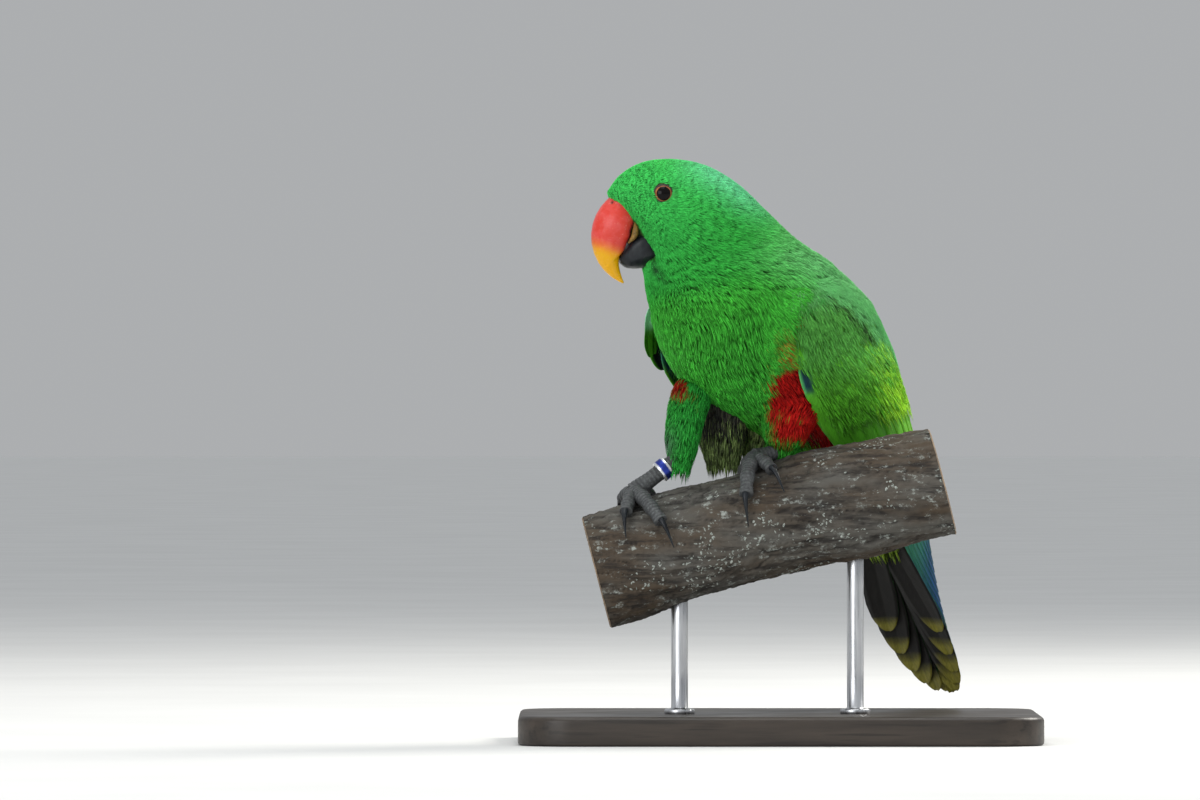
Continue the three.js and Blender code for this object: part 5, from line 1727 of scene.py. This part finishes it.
rng = np.random.default_rng(520)
stump = Hide(tail_root, 1.0, 20.0)
coverts = Coat("tail_coverts", stump, (0, 1), WHOLE_TURN)
spots = stump.rows(1.0, 0.05, WHOLE_TURN, lambda s: 6.0, rng)
coverts.fans(spots, lambda s: np.full(np.shape(s), 17.0), covert_colour, rng, 9, 3)
coverts = coverts.finish(plumage)
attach(coverts, "root")
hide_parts("tail")


# The shanks are clad in short soft feathers down to the ankle. The left thigh carries the end of the
# red flank, and the loose flank behind the right leg is dark down with yellow-green ends.
DUSTY = np.array((0.085, 0.08, 0.06))
SHANK_GREY = np.array((0.1, 0.13, 0.12))
DOWN_ENDS = np.array((0.23, 0.32, 0.105))
BREAST_EDGE = {"x": -50, "up": 13.9, "slope": 1.22}


def left_shank_colour(station, around, waver=0.0):
    place = shanks["left"](1 - station, around)
    height = place[..., 2] - BELLY_UP + 0.4 * waver
    outside = smooth((place @ BODY_LEFT) + 0.7 * waver, 16, 24)
    green = plain_colour(GREEN * 0.72, station)
    return blend(green, (RED, outside * smooth(height, -19, -13) * smooth(waver, -8, -4)))


def right_shank_colour(station, around, waver=0.0):
    place = shanks["right"](1 - station, around)
    green = plain_colour(NECK, station)
    grey = hump(station, 0.25, 0.14) * smooth(-(place @ BODY_LEFT), 8, 20)
    # the red of the flank shows below the edge of the breast
    height = place[..., 2] - BELLY_UP
    edge = BREAST_EDGE["up"] - BREAST_EDGE["slope"] * (place[..., 0] - BREAST_EDGE["x"])
    below = smooth(edge - height, -6, -3)
    red = below * smooth(height + 0.6 * waver, 3, 8) * smooth(waver, -6, -3)
    return blend(green * 0.8, (SHANK_GREY, 0.7 * grey), (RED * 0.8, red))


def flank_colour(station, around, waver=0.0):
    ends = np.where(waver > -1, 1.0, 0.5) * smooth(0.52 + 0.05 * waver - station, 0, 0.26)
    return blend(plain_colour(DOWN, station), (DUSTY, smooth(waver, -1, 3) * 0.7), (DOWN_ENDS, ends))


# name, limb, colours, length of the feathers and the pitch of their rows
SHANK_COATS = (
    ("left", shanks["left"], left_shank_colour, 11.0, 3.4),
    ("right", shanks["right"], right_shank_colour, 9.5, 2.9),
    ("flank", flanks["flank"], flank_colour, 12.0, 3.2),
    ("vent", flanks["vent"], flank_colour, 12.0, 3.2),
)
for number, (name, limb_at, colour_at, length, pitch) in enumerate(SHANK_COATS):
    rng = np.random.default_rng(600 + number)
    hide = Hide(lambda s, a, raised=0.0: limb_at(1 - s, a, raised), 2.0, 12.0)
    coat = Coat("coat_shank_" + name, hide, (0, 1), (0, 360))
    spots = hide.rows(0.97, 0.02, (0, 360), lambda s: pitch, rng)
    even = lambda s: np.full(np.shape(s), length)
    coat.fans(spots, even, colour_at, rng, 11, 3, 0.14, 0.4, 0.7, 0.7, 0.35)
    piece = coat.finish(plumage)
    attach(piece, "root")
    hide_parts("torso" if name in flanks else "leg_" + name)


# The feet grip the branch with two toes before and two behind. Rows of scutes lap down the upper side
# of each, with grains of skin at the sides and soft pads below.
FOOT_ANGLE = 4
TARSUS_RADIUS = 3.8
TOE_START = 2.5
# name, length, turn outwards, ahead or behind, and thickness
TOES = (
    ("inner_front", 21, -16, 1, 3.8), ("outer_front", 33, 15, 1, 4.1),
    ("outer_rear", 30, 17, -1, 4.0), ("inner_rear", 15, -22, -1, 3.7),
)
GAP = 0.3
SOLE = 4.2
SCUTE = {"long": 2.1, "tall": 0.42, "rings": 7, "sides": 28}
CLAW = {"length": 10.6, "thick": 2, "tip": 0.22, "rooted": 2.6, "arch": 1.6}


def shin_ends(leg):
    """The ends of a bare shin, at the ankle and on the perch."""
    return bird_place(*leg["ankle"]), perch_point(leg["foot"], FOOT_ANGLE, SOLE)


def toe_place(leg, turn, forward, along, over):
    """A place over the bark, some way along a toe that is turned outwards."""
    sideways = -leg["side"] * along * np.sin(np.radians(turn))
    round_ = forward * along * np.cos(np.radians(turn))
    angle = FOOT_ANGLE + np.degrees(round_ / (PERCH["radius"] + over))
    return perch_point(leg["foot"] + sideways, angle, over)


def foot_finish():
    finish = Finish("foot_skin", gloss=0.35)
    grains = finish.node("TexVoronoi", {"Vector": finish.place, "Scale": 900}).outputs["Distance"]
    cloud = finish.noise(160, 3)
    edge = finish.attribute("scute", "Fac")
    colour = finish.ramp(cloud, (0.3, (0.03, 0.032, 0.034, 1)), (0.7, (0.08, 0.084, 0.085, 1)))
    colour = finish.stain(colour, (0.14, 0.15, 0.15, 1), edge, (0.0, 0.0), (0.85, 0.1), (1.0, 0.5))
    colour = finish.stain(colour, (0.016, 0.016, 0.018, 1), edge, (0.0, 0.75), (0.22, 0.0))
    colour = finish.stain(colour, (0.03, 0.03, 0.033, 1), grains, (0.35, 0.0), (0.75, 0.6))
    normal = finish.bump(grains, -0.35, 0.0004)
    return finish.wear(colour, 0.6, normal)


def scaly_limb(name, points, radius, length, first_up, material):
    """A tarsus or toe, with a scute's raised edge again and again along its upper side."""
    at = limb(points, radius, first_up)
    t, angle = rows_and_turns(int(length / SCUTE["long"] * SCUTE["rings"]), SCUTE["sides"])
    saw = (t * length / SCUTE["long"]) % 1
    upper = np.clip(np.sin(np.radians(angle)) + 0.45, 0, 1) ** 0.5
    shape = smooth(saw, 0.0, 0.25) * (1 - 0.25 * smooth(saw, 0.6, 1.0))
    grid = at(t, angle, SCUTE["tall"] * (shape - 0.6) * upper)
    piece = tube(name, grid, material)
    scute = mix(0.5, shape, upper)
    mark(piece, "scute", np.append(scute.ravel(), (0.5, 0.5)))
    return piece


foot_skin = foot_finish()
claw_horn = black_horn("claw_horn", 0.22, 0.42)
for leg_name, leg in LEGS.items():
    ankle, sole = shin_ends(leg)
    top = ankle + (ankle - sole) * 0.12
    tarsus_radius = lambda t: TARSUS_RADIUS * (1 + 0.22 * smooth(t, 0.6, 1))
    length = np.linalg.norm(sole - top)
    line = [top, (top + sole) / 2, sole]
    parts = [scaly_limb("tarsus", line, tarsus_radius, length, BODY_AHEAD, foot_skin)]
    for name, length, turn, forward, thick in TOES:
        points = toe_place(leg, turn, forward, np.linspace(TOE_START, length, 7), thick + GAP)
        pads = lambda t, thick=thick: thick * (0.9 + 0.07 * np.cos(6 * np.pi * t)) * mix(1, 0.84, t)
        parts.append(scaly_limb("toe", points, pads, length, OVER_PERCH, foot_skin))
        share = np.linspace(0, 1, 6)
        along = length - CLAW["rooted"] + (CLAW["length"] + CLAW["rooted"]) * share
        over = thick + 0.6 + CLAW["arch"] * np.sin(np.pi * share) - (thick - 0.7) * share**2
        taper = lambda t: mix(CLAW["thick"], CLAW["tip"], t**1.2)
        claw_at = limb(toe_place(leg, turn, forward, along, over), taper, OVER_PERCH)
        t, angle = rows_and_turns(30, 20)
        groove = -0.3 * hump(angle, 270, 28) * (1 - t)
        claw = tube(f"horn_claw_{leg_name}_{name}", claw_at(t, angle, groove), claw_horn)
        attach(claw, "root")
        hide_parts(f"claw_{leg_name}_{name}")
    foot = join_pieces(parts)
    foot.name = "scaly_foot_" + leg_name
    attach(foot, "root")
    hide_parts("foot_" + leg_name)


# A closed aluminium ring is loose on the right tarsus. It is anodised blue, and bare where its edges
# have worn.
RING = {"inner": 4.3, "outer": 5.3, "tall": 5.5, "at": 0.3, "round": 0.3, "sides": 72}


def anodised_blue():
    finish = Finish("anodised_blue", Metallic=0.85)
    scuffs = finish.noise(800, 4, 0.7)
    worn = finish.plus(finish.attribute("edge", "Fac"), scuffs, 0.3)
    bare = finish.ramp(worn, (0.62, 0.0), (0.85, 1.0))
    colour = finish.mix(bare, (0.025, 0.045, 0.3, 1), (0.72, 0.73, 0.75, 1))
    return finish.wear(colour, finish.ramp(scuffs, (0.3, 0.24), (0.7, 0.42)))


def leg_ring(leg):
    ankle, sole = shin_ends(leg)
    along = unit(sole - ankle)
    middle = mix(ankle, sole, RING["at"])
    side = unit(np.cross(along, UP))
    other = np.cross(along, side)
    r, s, h, k = RING["inner"], RING["outer"], RING["tall"] / 2, RING["round"]
    section = [(r, k - h), (r + k, -h), (s - k, -h), (s - k * 0.3, -h + k * 0.3), (s, k - h)]
    section += [(s, 0), (s, h - k), (s - k * 0.3, h - k * 0.3), (s - k, h), (r + k, h), (r, h - k), (r, 0)]
    section = np.array(section)
    turn = all_round(RING["sides"])
    out = side * np.cos(turn)[:, None] + other * np.sin(turn)[:, None]
    grid = middle + out[:, None] * section[None, :, :1] + along * section[None, :, 1:]
    faces = hoop_faces(len(turn), len(section))[:, ::-1]
    piece = join_mesh("blue_ring", grid.reshape(-1, 3), [faces], anodised_blue())
    mark(piece, "edge", np.broadcast_to(np.abs(section[:, 1]) / h, grid.shape[:2]))
    return piece


ring = leg_ring(LEGS["right"])
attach(ring, "root")
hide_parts("leg_ring")


# The camera stands level with the bird's belly, six metres off, with a long lens. The floor is pale,
# and large soft lights hang above, behind on the right and in front.
AIM = (-86 * MM, 0.0, 164 * MM)
CAMERA_AWAY = 6.0
LENS = 375
FLOOR_HALF = 30000.0
# name, place and target in metres, size, power in watts and colour
LIGHTS = (
    ("sky_panel", (-0.1, -0.3, 2.2), (0, 0, 0.15), 1.6, 26.0, (1.0, 1.0, 0.98)),
    ("back_panel", (1.5, 1.1, 1.5), (0, 0, 0.2), 0.9, 42.0, (1.0, 0.97, 0.9)),
    ("front_panel", (-1.5, -2.3, 0.75), (0, 0, 0.16), 1.7, 34.0, (0.98, 0.99, 1.0)),
)
# the studio's walls, which grow lighter from the horizon up
SKY = {
    "From_Min": (0.06,) * 3, "From_Max": (0.5,) * 3,
    "To_Min": (0.415, 0.425, 0.435), "To_Max": (0.56, 0.58, 0.6),
}


def pale_floor():
    finish = Finish("pale_floor", gloss=0.2)
    colour = finish.ramp(finish.noise(6, 2), (0.3, (0.7, 0.7, 0.69, 1)), (0.7, (0.74, 0.74, 0.73, 1)))
    finish.wear(colour, 0.8)
    corners = np.array([(-1, -1, 0), (1, -1, 0), (1, 1, 0), (-1, 1, 0)]) * FLOOR_HALF
    return join_mesh("floor", corners, [np.array([[0, 1, 2, 3]])], finish.material)


def aimed(name, data, place, target):
    """A lamp or camera at a place, turned towards a target."""
    thing = placed(name, data)
    thing.location = place
    thing.rotation_euler = (Vector(target) - Vector(place)).to_track_quat("-Z", "Y").to_euler()
    return thing


pale_floor()
for name, place, target, size, power, colour in LIGHTS:
    panel = bpy.data.lights.new(name, "AREA")
    panel.size = size
    panel.energy = power
    panel.color = colour
    aimed(name, panel, place, target)
world = bpy.data.worlds.new("studio")
world.use_nodes = True
nodes, link = world.node_tree.nodes, world.node_tree.links.new
air, height, sky = (nodes.new("ShaderNode" + kind) for kind in ("TexCoord", "SeparateXYZ", "MapRange"))
sky.data_type = "FLOAT_VECTOR"
sky_inputs = {socket.identifier: socket for socket in sky.inputs}
for place, value in SKY.items():
    sky_inputs[place + "_FLOAT3"].default_value = value
link(air.outputs["Generated"], height.inputs[0])
link(height.outputs["Z"], sky_inputs["Vector"])
link(sky.outputs["Vector"], nodes["Background"].inputs["Color"])
nodes["Background"].inputs["Strength"].default_value = 1.0
bpy.context.scene.world = world
bpy.context.scene.view_settings.view_transform = "Standard"
lens = bpy.data.cameras.new("camera")
lens.lens = LENS
lens.sensor_width = 36
lens.clip_end = 60
bpy.context.scene.camera = aimed("camera", lens, (AIM[0], -CAMERA_AWAY, AIM[2]), AIM)
